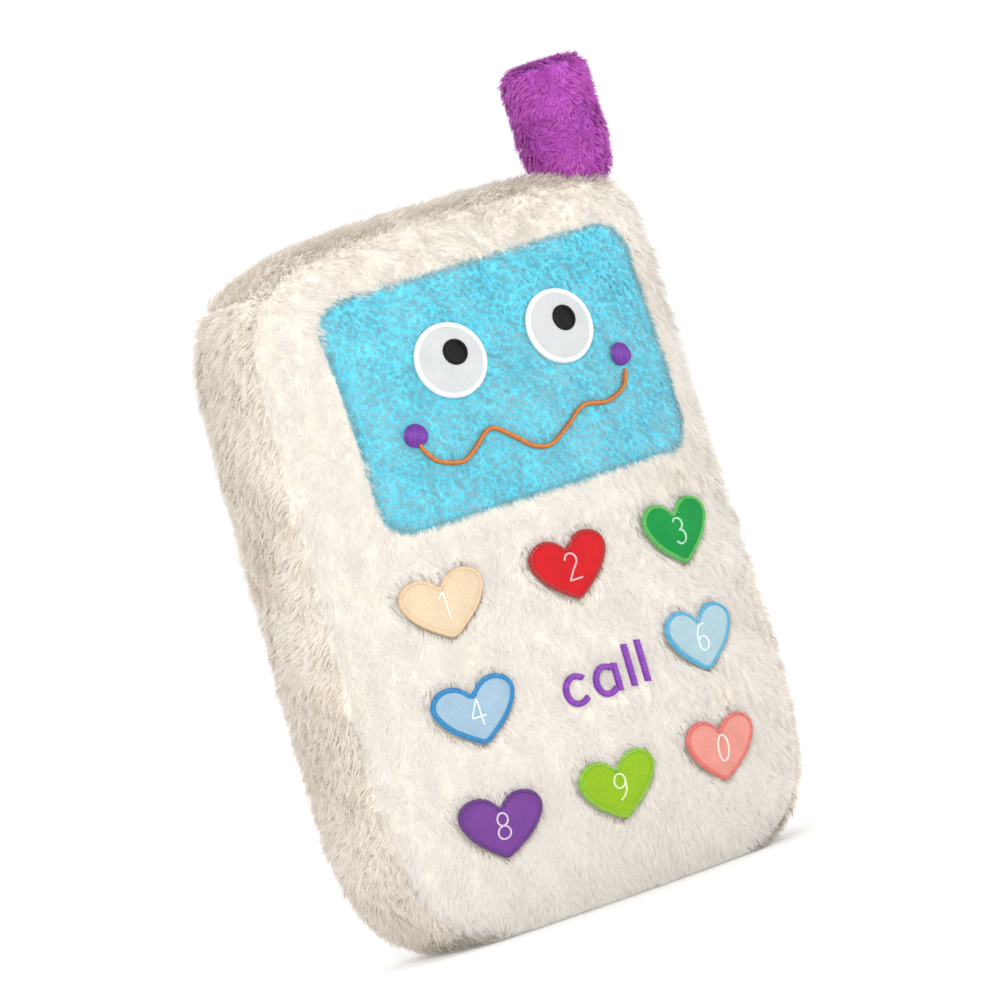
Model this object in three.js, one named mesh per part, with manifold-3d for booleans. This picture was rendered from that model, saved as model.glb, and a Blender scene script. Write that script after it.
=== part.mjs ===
// Plush toy cell phone, in millimetres. +Z up, front faces -Y, origin at the middle of the flat bottom.
import * as THREE from "three";
import { mergeVertices } from "three/addons/utils/BufferGeometryUtils.js";
import Module from "manifold-3d";

const wasm = await Module();
wasm.setup();

// ---------- driving dimensions ----------
const BODY_HALF_W = 114; // half width of the body at mid height
const BODY_FLARE = 5; // the left side is this much narrower at the top and wider at the bottom
const BODY_Z0 = -4; // lowest point of the outline before the bottom is flattened at z = 0
const BODY_Z1 = 346; // highest point of the seam outline
const GUSSET_W = 68; // width of the boxing strip, seam to seam
const GUSSET_BULGE = 4; // how far the strip swells outwards between its seams
const PLUSH_T = 4; // backing plus dense pile
const FRONT_BULGE = 31;
const BACK_BULGE = 22;
const GAP = 0.3; // seam and assembly clearance

const SCREEN = { x0: -81, x1: 98, z0: 203, z1: 321, r: 15 };
const EYE_R = 18.5;
const PUPIL_R = 6.6;
const CHEEK_R = 5.9;
const FELT_T = 1.2;

const HEART_W = 44;
const HEART_H = 33;
const BORDER_W = 3;
const KEYS = [
  // name, x, z of the heart's middle, turn in its own plane (degrees)
  ["1", -64.5, 164.5, 1],
  ["2", 3.6, 163.6, 0],
  ["3", 69.6, 163.6, -1],
  ["4", -65, 110.6, 1],
  ["6", 64, 110.3, -2],
  ["8", -67.5, 54.3, -5],
  ["9", -3.7, 54.2, 1],
  ["0", 58.5, 55.5, -3],
];
const CAP_R = 8.5;
const SWITCH_R = 13;
const SWITCH_TOP = -8;
const SWITCH_BOTTOM = -16;
const STEM_R = 4;
const MEMBRANE_K = 17.4; // depth of the flexible circuit under the outer surface
const MEMBRANE_T = 1.2;

const ANTENNA = { x: 99, y: -12, z: 356, r: 19.5, top: 401, wall: 3 };

const CASE = { x: 40, y0: 27.5, y1: 49.5, z0: 78, z1: 150, wall: 2 };
const OPENING = { x: 46, z0: 66, z1: 156, r: 10 }; // back opening closed by the flap
const DOOR = { x: 14, z0: 83, z1: 103, t: 1.6, travel: 10 };
const CELL_R = 5.8;
const CELL_L = 5.4;

// ---------- solid helpers ----------
function solid(geometry) {
  const g = new THREE.BufferGeometry();
  g.setAttribute("position", geometry.getAttribute("position").clone());
  if (geometry.index) g.setIndex(geometry.index.clone());
  const m = mergeVertices(g, 1e-4);
  return new wasm.Manifold(
    new wasm.Mesh({
      numProp: 3,
      vertProperties: new Float32Array(m.attributes.position.array),
      triVerts: new Uint32Array(m.index.array),
    }),
  );
}
function faces(points, triangles) {
  const g = new THREE.BufferGeometry();
  g.setAttribute("position", new THREE.BufferAttribute(new Float32Array(points.flat()), 3));
  g.setIndex(triangles.flat());
  return solid(g);
}
function box(x0, x1, y0, y1, z0, z1) {
  const g = new THREE.BoxGeometry(x1 - x0, y1 - y0, z1 - z0);
  g.translate((x0 + x1) / 2, (y0 + y1) / 2, (z0 + z1) / 2);
  return solid(g);
}
// A turned solid: profile of [radius, height] pairs that starts and ends on the axis or closes, turned about +Y.
function turned(profile, segments = 16) {
  return solid(new THREE.LatheGeometry(profile.map((p) => new THREE.Vector2(...p)), segments));
}
// A prism of an outline given in X and Z, from y0 to y1.
function prism(outline, y0, y1, holes = []) {
  const shape = new THREE.Shape(outline.map((p) => new THREE.Vector2(p[0], p[1])));
  for (const h of holes) shape.holes.push(new THREE.Path(h.map((p) => new THREE.Vector2(p[0], p[1]))));
  const g = new THREE.ExtrudeGeometry(shape, { depth: y1 - y0, bevelEnabled: false, curveSegments: 1 });
  g.rotateX(Math.PI / 2); // shape Y becomes Z, depth runs towards -Y
  g.translate(0, y1, 0);
  return solid(g);
}
function roundedRect(x0, x1, z0, z1, r, steps = 5) {
  const out = [];
  for (const [cx, cz, a0] of [[x1 - r, z1 - r, 0], [x0 + r, z1 - r, 90], [x0 + r, z0 + r, 180], [x1 - r, z0 + r, 270]])
    for (let i = 0; i <= steps; i++) {
      const a = ((a0 + (90 * i) / steps) * Math.PI) / 180;
      out.push([cx + r * Math.cos(a), cz + r * Math.sin(a)]);
    }
  return out;
}
function circle(r, n, cx = 0, cz = 0) {
  return Array.from({ length: n }, (_, i) => [
    cx + r * Math.cos((2 * Math.PI * i) / n),
    cz + r * Math.sin((2 * Math.PI * i) / n),
  ]);
}

// ---------- body surface ----------
const ZC = (BODY_Z0 + BODY_Z1) / 2;
const ZH = (BODY_Z1 - BODY_Z0) / 2;
// Half widths of the seam outline at a height: the top right corner is squarer, because the antenna is sewn there.
function halfWidths(z) {
  const t = Math.min(1, Math.max(-1, (z - ZC) / ZH));
  const q = Math.abs(t);
  const low = Math.max(0, 1 - q ** 6.8) ** (1 / 3);
  const left = t < 0 ? low : Math.max(0, 1 - q ** 13) ** (1 / 3);
  const right = t < 0 ? low : Math.max(0, 1 - q ** 20) ** (1 / 4);
  return [(BODY_HALF_W - BODY_FLARE * t) * left, BODY_HALF_W * right];
}
// How far the panel swells at a point, as a share of its bulge.
function swell(x, z) {
  const t = (z - ZC) / ZH;
  if (Math.abs(t) >= 1) return 0;
  const [l, r] = halfWidths(z);
  const s = Math.min(1, Math.abs(x / (x < 0 ? l : r)));
  return (Math.max(0, 1 - s ** 2.4) * (1 - t ** 4)) ** 0.8;
}
const frontY = (x, z, k = 0) => -(GUSSET_W / 2 + GAP + PLUSH_T) - FRONT_BULGE * swell(x, z) + k;
const backY = (x, z, k = 0) => GUSSET_W / 2 + GAP + PLUSH_T + BACK_BULGE * swell(x, z) - k;

// The seam outline as points round the body, placed closer together where it turns.
const CORNER_WEIGHT = 130;
function outlinePoints(n) {
  const dense = [];
  for (let i = 0; i <= 400; i++) {
    const z = ZC - ZH * Math.cos((Math.PI * i) / 400);
    dense.push([halfWidths(z)[1], z]);
  }
  for (let i = 399; i > 0; i--) {
    const z = ZC - ZH * Math.cos((Math.PI * i) / 400);
    dense.push([-halfWidths(z)[0], z]);
  }
  const flat = dense.map(([x, z]) => [x, Math.max(0, z)]);
  const at = [0];
  for (let i = 1; i <= flat.length; i++) {
    const o = flat[(i + flat.length - 2) % flat.length];
    const a = flat[i - 1];
    const b = flat[i % flat.length];
    const turn = Math.abs(Math.sin((Math.atan2(b[1] - a[1], b[0] - a[0]) - Math.atan2(a[1] - o[1], a[0] - o[0])) / 2));
    at.push(at[i - 1] + Math.hypot(b[0] - a[0], b[1] - a[1]) + CORNER_WEIGHT * turn);
  }
  const total = at[at.length - 1];
  const out = [];
  let j = 0;
  for (let i = 0; i < n; i++) {
    const s = (total * (i + 0.5)) / n;
    while (at[j + 1] < s) j++;
    const f = (s - at[j]) / (at[j + 1] - at[j]);
    const a = flat[j];
    const b = flat[(j + 1) % flat.length];
    out.push([a[0] + f * (b[0] - a[0]), a[1] + f * (b[1] - a[1])]);
  }
  return out;
}
const N = 36;
const OUTLINE = outlinePoints(N);
const RINGS = [0.4, 0.66, 0.83, 0.93, 0.98, 1];
const MID = [0, ZC];
const ringPoint = (q, p) => [MID[0] + q * (p[0] - MID[0]), MID[1] + q * (p[1] - MID[1])];

// The closed region between two surfaces over the whole outline: y = near(x, z) and y = far(x, z), near < far.
function slab(near, far) {
  const points = [];
  const tris = [];
  const cap = (f, flip) => {
    const base = points.length;
    points.push([MID[0], f(MID[0], MID[1]), MID[1]]);
    for (const q of RINGS) for (const p of OUTLINE) {
      const [x, z] = ringPoint(q, p);
      points.push([x, f(x, z), z]);
    }
    const add = (a, b, c) => tris.push(flip ? [a, c, b] : [a, b, c]);
    for (let i = 0; i < N; i++) {
      const n = (i + 1) % N;
      add(base, base + 1 + i, base + 1 + n);
      for (let k = 0; k + 1 < RINGS.length; k++) {
        const a = base + 1 + k * N;
        const b = a + N;
        add(a + i, b + i, b + n);
        add(a + i, b + n, a + n);
      }
    }
    return base + 1 + (RINGS.length - 1) * N;
  };
  // The outline runs anticlockwise seen from -Y, so the near cap faces -Y as it is.
  const a = cap(near, false);
  const b = cap(far, true);
  for (let i = 0; i < N; i++) {
    const n = (i + 1) % N;
    tris.push([a + i, b + i, b + n], [a + i, b + n, a + n]);
  }
  return faces(points, tris);
}

// The boxing strip: offset is measured outwards from the seam outline, and the bottom is flattened.
function normals(points) {
  return points.map((p, i) => {
    const a = points[(i + points.length - 1) % points.length];
    const b = points[(i + 1) % points.length];
    const t = [b[0] - a[0], b[1] - a[1]];
    const l = Math.hypot(...t);
    return [t[1] / l, -t[0] / l];
  });
}
const NORMALS = normals(OUTLINE);
function stripSection(y, offset, floor) {
  const h = GUSSET_W / 2;
  const swellOut = GUSSET_BULGE * (1 - (y / h) ** 2);
  return OUTLINE.map((p, i) => {
    const d = offset + swellOut;
    return [p[0] + NORMALS[i][0] * d, y, Math.max(floor, p[1] + NORMALS[i][1] * d)];
  });
}
function stripVolume(offset, floor, y0, y1, steps) {
  const rows = [];
  for (let i = 0; i <= steps; i++) rows.push(stripSection(y0 + ((y1 - y0) * i) / steps, offset, floor));
  const points = rows.flat();
  const tris = [];
  for (let k = 0; k < steps; k++)
    for (let i = 0; i < N; i++) {
      const n = (i + 1) % N;
      const a = k * N;
      const b = a + N;
      tris.push([a + i, b + i, b + n], [a + i, b + n, a + n]);
    }
  const c0 = points.push([0, y0, ZC]) - 1;
  const c1 = points.push([0, y1, ZC]) - 1;
  for (let i = 0; i < N; i++) {
    const n = (i + 1) % N;
    tris.push([c0, i, n], [c1, steps * N + n, steps * N + i]);
  }
  return faces(points, tris);
}

// ---------- frames of the keys ----------
function keyFrame(x, z, turn) {
  const e = 1;
  const dx = (frontY(x + e, z) - frontY(x - e, z)) / (2 * e);
  const dz = (frontY(x, z + e) - frontY(x, z - e)) / (2 * e);
  const out = new THREE.Vector3(dx, -1, dz).normalize();
  const back = out.clone().negate();
  const side = new THREE.Vector3().crossVectors(back, new THREE.Vector3(0, 0, 1)).normalize();
  const up = new THREE.Vector3().crossVectors(side, back).normalize();
  const m = new THREE.Matrix4().makeBasis(side, back, up).setPosition(x, frontY(x, z), z);
  return m.multiply(new THREE.Matrix4().makeRotationY((-turn * Math.PI) / 180));
}
const place = (s, m) => s.transform(m.elements);

// A heart outline of the given size, shrunk by an inset.
function heart(inset, n = 20) {
  const raw = [];
  for (let i = 0; i < 400; i++) {
    const t = (2 * Math.PI * i) / 400;
    raw.push([
      16 * Math.sin(t) ** 3,
      13 * Math.cos(t) - 5 * Math.cos(2 * t) - 2 * Math.cos(3 * t) - Math.cos(4 * t),
    ]);
  }
  // Plump fabric heart: the notch is shallow, the lower sides bow out and the tip is blunt.
  const shaped = raw.map(([x, z]) => {
    const u = x / 16;
    const v = (z + 2.53) / 14.53;
    const f = Math.min(1, Math.max(0, (0.4 - v) / 0.8));
    const power = 0.92 - 0.34 * f * f * (3 - 2 * f);
    return [(HEART_W / 2) * Math.sign(u) * Math.abs(u) ** power, (HEART_H / 2) * v];
  });
  shaped.reverse();
  const norm = normals(shaped);
  const moved = shaped.map((p, i) => [p[0] - norm[i][0] * inset, p[1] - norm[i][1] * inset]);
  const keep = inset > 0 ? moved.filter((p, i) => Math.hypot(p[0] - shaped[i][0], p[1] - shaped[i][1]) > 0) : moved;
  const out = [];
  for (let i = 0; i < n; i++) out.push(keep[Math.round((i * keep.length) / n) % keep.length]);
  return out;
}
// A simple offset that keeps the same number of points, by scaling about the middle.
function scaled(outline, dx, dz) {
  return outline.map(([x, z]) => [x * (1 - dx / (HEART_W / 2)), z * (1 - dz / (HEART_H / 2))]);
}
const HEART = heart(0);

// ---------- assembly ----------
const root = new THREE.Group();
root.name = "plush_phone";
function add(name, s, color, roughness = 0.9, metalness = 0) {
  const m = s.getMesh();
  const g = new THREE.BufferGeometry();
  const v = new Float32Array(m.numVert * 3);
  for (let i = 0; i < m.numVert; i++) v.set(m.vertProperties.subarray(i * m.numProp, i * m.numProp + 3), i * 3);
  g.setAttribute("position", new THREE.BufferAttribute(v, 3));
  g.setIndex(new THREE.BufferAttribute(new Uint32Array(m.triVerts), 1));
  g.computeVertexNormals();
  const mesh = new THREE.Mesh(g, new THREE.MeshStandardMaterial({ color, roughness, metalness }));
  mesh.name = name;
  root.add(mesh);
  return mesh;
}

const frames = KEYS.map(([name, x, z, turn]) => [name, keyFrame(x, z, turn)]);
const HOLE = scaled(HEART, -1.3, -1.3);
const screenOutline = roundedRect(SCREEN.x0, SCREEN.x1, SCREEN.z0, SCREEN.z1, SCREEN.r);
const screenHole = roundedRect(SCREEN.x0 - GAP, SCREEN.x1 + GAP, SCREEN.z0 - GAP, SCREEN.z1 + GAP, SCREEN.r + GAP);

// Socket in the top of the body for the rounded root of the antenna.
const ballProfile = (r) =>
  Array.from({ length: 9 }, (_, i) => {
    const a = (Math.PI * i) / 8;
    return [Math.max(0, r * Math.sin(a)), -r * Math.cos(a)];
  }).map(([x, y], i) => (i === 0 || i === 8 ? [0, y] : [x, y]));
const socket = turned(ballProfile(ANTENNA.r + 1), 20)
  .rotate([90, 0, 0])
  .translate([ANTENNA.x, ANTENNA.y, ANTENNA.z]);

// Front panel: one layer of plush over the whole outline, cut for the screen and the keys.
const frontFull = slab((x, z) => frontY(x, z), (x, z) => frontY(x, z, PLUSH_T));
let front = frontFull.subtract(prism(screenHole, -120, 0));
for (const [, m] of frames) front = front.subtract(place(prism(HOLE, -14, 14), m));
add("front_panel", front, 0xf2ece2);

add("screen_panel", frontFull.intersect(prism(screenOutline, -120, 0)), 0x5fcde6);

// Back panel with the opening for the sound unit, and the flap that fills it.
const backFull = slab((x, z) => backY(x, z, PLUSH_T), (x, z) => backY(x, z));
const openingOutline = roundedRect(-OPENING.x, OPENING.x, OPENING.z0, OPENING.z1, OPENING.r);
const flapOutline = roundedRect(-OPENING.x + 0.6, OPENING.x - 0.6, OPENING.z0 + 0.6, OPENING.z1 - 0.6, OPENING.r);
add("back_panel", backFull.subtract(prism(openingOutline, 0, 120)), 0xf0eadf);
add("closure_flap", backFull.intersect(prism(flapOutline, 0, 120)), 0xf0eadf);

// Gusset.
const stripOuter = stripVolume(0, 0, -GUSSET_W / 2, GUSSET_W / 2, 4);
const stripInner = stripVolume(-PLUSH_T, PLUSH_T, -GUSSET_W / 2 - 0.0, GUSSET_W / 2 + 0.0, 4);
const stripHole = (() => {
  // The hollow runs on past both seams, so the strip is a plain ring.
  const ends = (s) => prism(stripSection(s * (GUSSET_W / 2), -PLUSH_T, PLUSH_T).map((p) => [p[0], p[2]]), s < 0 ? -60 : GUSSET_W / 2 - 0.01, s < 0 ? -GUSSET_W / 2 + 0.01 : 60);
  return stripInner.add(ends(-1)).add(ends(1));
})();
add("gusset", stripOuter.subtract(stripHole).subtract(socket), 0xf3ede4);

// Switch frames, flexible circuit and its tail.
const membraneOutline = roundedRect(-82, 86, 36, 184, 16, 3);
const tailZ = 88;
const membraneSheet = slab(
  (x, z) => frontY(x, z, MEMBRANE_K),
  (x, z) => frontY(x, z, MEMBRANE_K + MEMBRANE_T),
).intersect(prism(membraneOutline, -120, 60));
const tail = box(-8, 8, -50.6, 29.4, tailZ - 0.5, tailZ + 0.5);
add("key_membrane", membraneSheet.add(tail), 0xc98a3a, 0.5);

for (const [name, m] of frames) {
  // The fabric heart, its satin-stitched edge, the plunger behind it and the fixed switch below.
  // In a key's own frame +Y runs into the body, so heights are negative towards the outside.
  const inner = scaled(HEART, BORDER_W, BORDER_W);
  const felt = scaled(HEART, BORDER_W + GAP, BORDER_W + GAP);
  add("heart_" + name, place(prism(felt, -1.4, 1.2), m), 0xffffff);
  add("heart_" + name + "_border", place(prism(HEART, -2, 1.2).subtract(prism(inner, -4, 4)), m), 0xffffff, 0.5);
  add(
    "key_" + name + "_cap",
    place(
      turned([[0, 1.5], [CAP_R, 1.5], [CAP_R, 4.2], [STEM_R, 4.2], [STEM_R, 9.5], [0, 9.5]], 10),
      m,
    ),
    0xe8e8e8,
    0.5,
  );
  add(
    "key_" + name + "_switch",
    place(
      turned(
        [
          [0, 14],
          [STEM_R + 0.4, 14],
          [STEM_R + 0.4, -SWITCH_TOP],
          [SWITCH_R, -SWITCH_TOP],
          [SWITCH_R, -SWITCH_BOTTOM],
          [0, -SWITCH_BOTTOM],
        ],
        10,
      ),
      m,
    ),
    0x2b2b30,
    0.5,
  );
}

// Stuffing: fills the cover and leaves room for the switches, the circuit and the sound unit.
const fill = slab(
  (x, z) => frontY(x, z, PLUSH_T + GAP),
  (x, z) => backY(x, z, PLUSH_T + GAP),
);
const inside = (() => {
  const mid = stripVolume(-PLUSH_T - GAP, PLUSH_T + GAP, -GUSSET_W / 2 - 0.2, GUSSET_W / 2 + 0.2, 4);
  const end = (s) => prism(stripSection(s * (GUSSET_W / 2 + 0.2), -PLUSH_T - GAP, PLUSH_T + GAP).map((p) => [p[0], p[2]]), s < 0 ? -120 : GUSSET_W / 2 + 0.1, s < 0 ? -GUSSET_W / 2 - 0.1 : 120);
  return mid.add(end(-1)).add(end(1));
})();
let stuffing = fill.intersect(inside).subtract(socket);
for (const [, m] of frames)
  stuffing = stuffing.subtract(place(prism(circle(SWITCH_R + 1.4, 12), -20, 18.5), m));
stuffing = stuffing
  .subtract(
    slab(
      (x, z) => frontY(x, z, MEMBRANE_K - 0.7),
      (x, z) => frontY(x, z, MEMBRANE_K + MEMBRANE_T + 0.7),
    ).intersect(prism(roundedRect(-83, 87, 35, 185, 16, 3), -120, 60)),
  )
  .subtract(box(-9, 9, -51, 40, tailZ - 1.2, tailZ + 1.2))
  .subtract(box(-OPENING.x + 1, OPENING.x - 1, 24, 90, OPENING.z0 + 1, OPENING.z1 - 1));
add("stuffing", stuffing, 0xfafafa, 1);

// Antenna: a stuffed sleeve on a rounded root that rolls in its socket.
{
  const { x, y, z, r, top, wall } = ANTENNA;
  const outer = [];
  for (let i = 0; i <= 5; i++) {
    const a = (Math.PI / 2) * (i / 5);
    outer.push([i ? r * Math.sin(a) : 0, -r * Math.cos(a)]);
  }
  outer.push([r + 0.4, top - z - 10]);
  outer.push([r - 1.5, top - z - 4.5], [r - 5.5, top - z - 1.2], [r - 11, top - z], [0, top - z]);
  const inner = [
    [0, -r - 5],
    [8, -r - 5],
    [8, -r + wall + 1],
    [r - wall - 3, -r * 0.55],
    [r - wall, 0],
    [r - wall, top - z - 10],
    [r - wall - 5, top - z - wall - 1],
    [0, top - z - wall],
  ];
  const fillIn = [
    [0, -r + 1.2],
    [8 - GAP, -r + 1.6],
    [8 - GAP, -r + wall + 1.4],
    [r - wall - 3 - GAP, -r * 0.55 + GAP],
    [r - wall - GAP, 0.1],
    [r - wall - GAP, top - z - 10.1],
    [r - wall - 5 - GAP, top - z - wall - 1.4],
    [0, top - z - wall - GAP],
  ];
  const up = (s) => s.rotate([90, 0, 0]).translate([x, y, z]);
  const sleeve = turned(outer, 20).subtract(turned(inner, 20));
  add("antenna_cover", up(sleeve), 0xb94dbe);
  add("antenna_stuffing", up(turned(fillIn, 20)), 0xfafafa, 1);
}

// Face: felt and thread laid on the screen.
function disc(cx, cz, r, k0, k1, n, mid) {
  const points = [];
  const tris = [];
  const radii = mid ? [r * 0.55, r] : [r];
  for (const k of [k1, k0]) {
    const base = points.length;
    points.push([cx, frontY(cx, cz, -k), cz]);
    for (const q of radii)
      for (const [px, pz] of circle(q, n, cx, cz)) points.push([px, frontY(px, pz, -k), pz]);
    const flip = k === k0;
    const put = (a, b, c) => tris.push(flip ? [a, c, b] : [a, b, c]);
    for (let i = 0; i < n; i++) {
      const j = (i + 1) % n;
      put(base, base + 1 + i, base + 1 + j);
      if (mid) {
        put(base + 1 + i, base + 1 + n + i, base + 1 + n + j);
        put(base + 1 + i, base + 1 + n + j, base + 1 + j);
      }
    }
  }
  const per = 1 + n * radii.length;
  const a = 1 + n * (radii.length - 1);
  for (let i = 0; i < n; i++) {
    const j = (i + 1) % n;
    tris.push([a + i, per + a + i, per + a + j], [a + i, per + a + j, a + j]);
  }
  return faces(points, tris);
}
const EYES = [["left", -24.2, 277.2], ["right", 38.7, 277.6]];
for (const [side, x, z] of EYES) {
  add("eye_" + side, disc(x, z, EYE_R, 0.8, 0.8 + FELT_T, 20, true), 0xf6f8f8);
  add("pupil_" + side, disc(x + 3, z + 3, PUPIL_R, 2.6, 3.4, 12, false), 0x111111, 0.6);
}
add("cheek_left", disc(-53.9, 247.4, CHEEK_R, 0.8, 1.7, 12, false), 0x7d23aa, 0.5);
add("cheek_right", disc(67.6, 255.7, CHEEK_R, 0.8, 1.7, 12, false), 0x7d23aa, 0.5);

// Mouth: a wavy stitched line, as a narrow raised band.
{
  const line = [
    [-51.8, 239], [-47, 232.6], [-35.8, 228.9], [-27.9, 232.3], [-16.5, 240.1], [-6.2, 233.8], [3, 226], [13, 224],
    [24.3, 229.9], [36.6, 237.2], [50.8, 235.7], [62.4, 239.6], [67.4, 247.2],
  ];
  const curve = new THREE.CatmullRomCurve3(line.map(([x, z]) => new THREE.Vector3(x, 0, z)));
  const n = 36;
  const w = 1.2;
  const points = [];
  const tris = [];
  for (let i = 0; i <= n; i++) {
    const p = curve.getPoint(i / n);
    const t = curve.getTangent(i / n);
    const side = [-t.z, t.x];
    const l = Math.hypot(...side);
    for (const [s, k] of [[1, 0.8], [1, 1.8], [-1, 1.8], [-1, 0.8]]) {
      const px = p.x + (s * w * side[0]) / l;
      const pz = p.z + (s * w * side[1]) / l;
      points.push([px, frontY(px, pz, -k), pz]);
    }
  }
  for (let i = 0; i < n; i++)
    for (let c = 0; c < 4; c++) {
      const a = i * 4 + c;
      const b = i * 4 + ((c + 1) % 4);
      tris.push([a, b, b + 4], [a, b + 4, a + 4]);
    }
  tris.push([0, 2, 1], [0, 3, 2], [4 * n, 4 * n + 1, 4 * n + 2], [4 * n, 4 * n + 2, 4 * n + 3]);
  let mouth;
  try {
    mouth = faces(points, tris);
    if (mouth.volume() < 0) mouth = faces(points, tris.map(([a, b, c]) => [a, c, b]));
  } catch {
    mouth = faces(points, tris.map(([a, b, c]) => [a, c, b]));
  }
  add("mouth", mouth, 0xe2912f, 0.5);
}

// ---------- sound unit ----------
{
  const { x, y0, y1, z0, z1, wall } = CASE;
  const bay = { x: 10, z0: 86, z1: 99, y: 37.5 };
  let unit = box(-x, x, y0, y1, z0, z1).subtract(box(-x + wall, x - wall, y0 - 1, y1 - wall, z0 + wall, z1 - wall));
  // Battery bay let into the back wall.
  unit = unit
    .add(box(-bay.x - 1.5, bay.x + 1.5, bay.y - 1.5, y1 - wall + 0.5, bay.z0 - 1.5, bay.z1 + 1.5))
    .subtract(box(-bay.x, bay.x, bay.y, y1 + 1, bay.z0, bay.z1));
  for (const dz of [-9, -3, 3, 9]) {
    const h = Math.sqrt(12.5 ** 2 - dz ** 2);
    unit = unit.subtract(box(-h, h, y1 - wall - 1, y1 + 1, 128 + dz - 1.2, 128 + dz + 1.2));
  }
  // Slot for the power switch, and the bore of the door latch in its boss.
  unit = unit.subtract(box(22, 34, y1 - wall - 1, y1 + 1, 90, 94));
  const hole = (r, a, b, cx, cz) => prism(circle(r, 14, cx, cz), a, b);
  unit = unit.add(hole(4, y1 - 7, y1 - wall + 0.5, 0, 106.5)).subtract(hole(1.8, y1 - 5.6, y1 + 1, 0, 106.5));
  add("module_case", unit, 0x2f3136, 0.5);
  add("module_lid", box(-x, x, y0 - 2.3, y0 - GAP, z0, z1).subtract(box(-9, 9, y0 - 3, y0, tailZ - 1.2, tailZ + 1.2)), 0x2f3136, 0.5);
  const board = box(-35, 35, y0 + 2.3, y0 + 3.9, z0 + 4, z1 - 4).add(box(-26, -14, y0 + 3.5, y0 + 5.6, 92, 104));
  add("sound_board", board, 0x1f7a3d, 0.4);
  add(
    "speaker",
    turned([[0, 0], [16, 0], [16, -2.4], [9, -5], [9, -9], [0, -9]].reverse(), 20).translate([0, y1 - wall - GAP, 128]),
    0x1b1b1d,
    0.6,
  );
  for (let i = 0; i < 3; i++) {
    const cx = (i - 1) * (CELL_L + GAP);
    const s = turned([[0, -CELL_L / 2], [CELL_R, -CELL_L / 2], [CELL_R, CELL_L / 2], [0, CELL_L / 2]], 20)
      .rotate([0, 0, 90])
      .translate([cx, 43.6, 92.5]);
    add("battery_" + (i + 1), s, 0xc8cacc, 0.3, 1);
  }
  const doorY = y1 + GAP;
  add("battery_door", box(-DOOR.x, DOOR.x, doorY, doorY + DOOR.t, DOOR.z0, DOOR.z1), 0x3a3c42, 0.5);
  // Quarter-turn latch: its head overlaps the door until its flat side is turned down.
  const head = prism(circle(5, 18, 0, 106.5), doorY + DOOR.t + GAP, doorY + DOOR.t + 2).subtract(
    box(-8, 8, 40, 60, 109, 115),
  );
  const slot = box(-3.4, 3.4, doorY + DOOR.t + 1.2, 60, 106, 107);
  add(
    "door_latch",
    head.add(prism(circle(1.5, 14, 0, 106.5), y1 - 4.6, doorY + DOOR.t + 0.6)).subtract(slot),
    0xb9bcc2,
    0.35,
    1,
  );
  add(
    "power_switch",
    box(24.3, 28.3, y1 - 2.6, y1 + 2.2, 90.4, 93.6).add(box(21.5, 31.1, y1 - 4.2, y1 - 2.3, 88.5, 95.5)),
    0xd8d8d8,
    0.5,
  );
}

export default root;
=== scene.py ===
"""Looks of the plush toy phone: fur, felt, satin stitching and the sound unit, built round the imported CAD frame."""

import math

import bpy
import numpy as np
from mathutils import Matrix, Vector


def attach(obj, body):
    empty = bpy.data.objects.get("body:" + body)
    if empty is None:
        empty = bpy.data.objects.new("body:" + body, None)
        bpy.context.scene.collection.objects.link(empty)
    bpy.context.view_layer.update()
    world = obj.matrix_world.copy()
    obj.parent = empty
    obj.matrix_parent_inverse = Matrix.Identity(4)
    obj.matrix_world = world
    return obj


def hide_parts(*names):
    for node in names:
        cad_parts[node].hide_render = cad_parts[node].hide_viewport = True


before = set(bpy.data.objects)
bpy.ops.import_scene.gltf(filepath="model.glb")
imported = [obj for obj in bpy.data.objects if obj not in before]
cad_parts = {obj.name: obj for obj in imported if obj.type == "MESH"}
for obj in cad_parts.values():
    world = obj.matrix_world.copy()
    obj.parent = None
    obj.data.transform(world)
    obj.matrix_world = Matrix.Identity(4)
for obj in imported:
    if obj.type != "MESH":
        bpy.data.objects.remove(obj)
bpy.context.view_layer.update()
MM = 0.001
ROOT = "phone_body"

# ------------------------------------------------------------------ dimensions, as in the CAD part, in mm
BODY_HALF_W, BODY_FLARE, BODY_Z0, BODY_Z1 = 114.0, 5.0, -4.0, 346.0
GUSSET_W, PLUSH_T, GAP, FRONT_BULGE, BACK_BULGE = 68.0, 4.0, 0.3, 31.0, 22.0
ZC, ZH = (BODY_Z0 + BODY_Z1) / 2, (BODY_Z1 - BODY_Z0) / 2
SCREEN = (-81.0, 98.0, 203.0, 321.0, 15.0)
EYE_R, PUPIL_R, CHEEK_R = 18.5, 6.6, 5.9
EYES = {"left": (-24.2, 277.2), "right": (38.7, 277.6)}
CHEEKS = {"left": (-53.9, 247.4), "right": (67.6, 255.7)}
MOUTH = [(-51.8, 239), (-47, 232.6), (-35.8, 228.9), (-27.9, 232.3), (-16.5, 240.1), (-6.2, 233.8), (3, 226), (13, 224),
         (24.3, 229.9), (36.6, 237.2), (50.8, 235.7), (62.4, 239.6), (67.4, 247.2)]
HEART_W, HEART_H, BORDER_W = 44.0, 33.0, 3.0
KEYS = [("1", -64.5, 164.5, 1), ("2", 3.6, 163.6, 0), ("3", 69.6, 163.6, -1), ("4", -65, 110.6, 1), ("6", 64, 110.3, -2),
        ("8", -67.5, 54.3, -5), ("9", -3.7, 54.2, 1), ("0", 58.5, 55.5, -3)]
ANTENNA = dict(x=99.0, y=-12.0, z=356.0, r=19.5, top=401.0)
OPENING = (-46.0, 46.0, 66.0, 156.0, 10.0)
LABEL = (4.2, 106.7)


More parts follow.
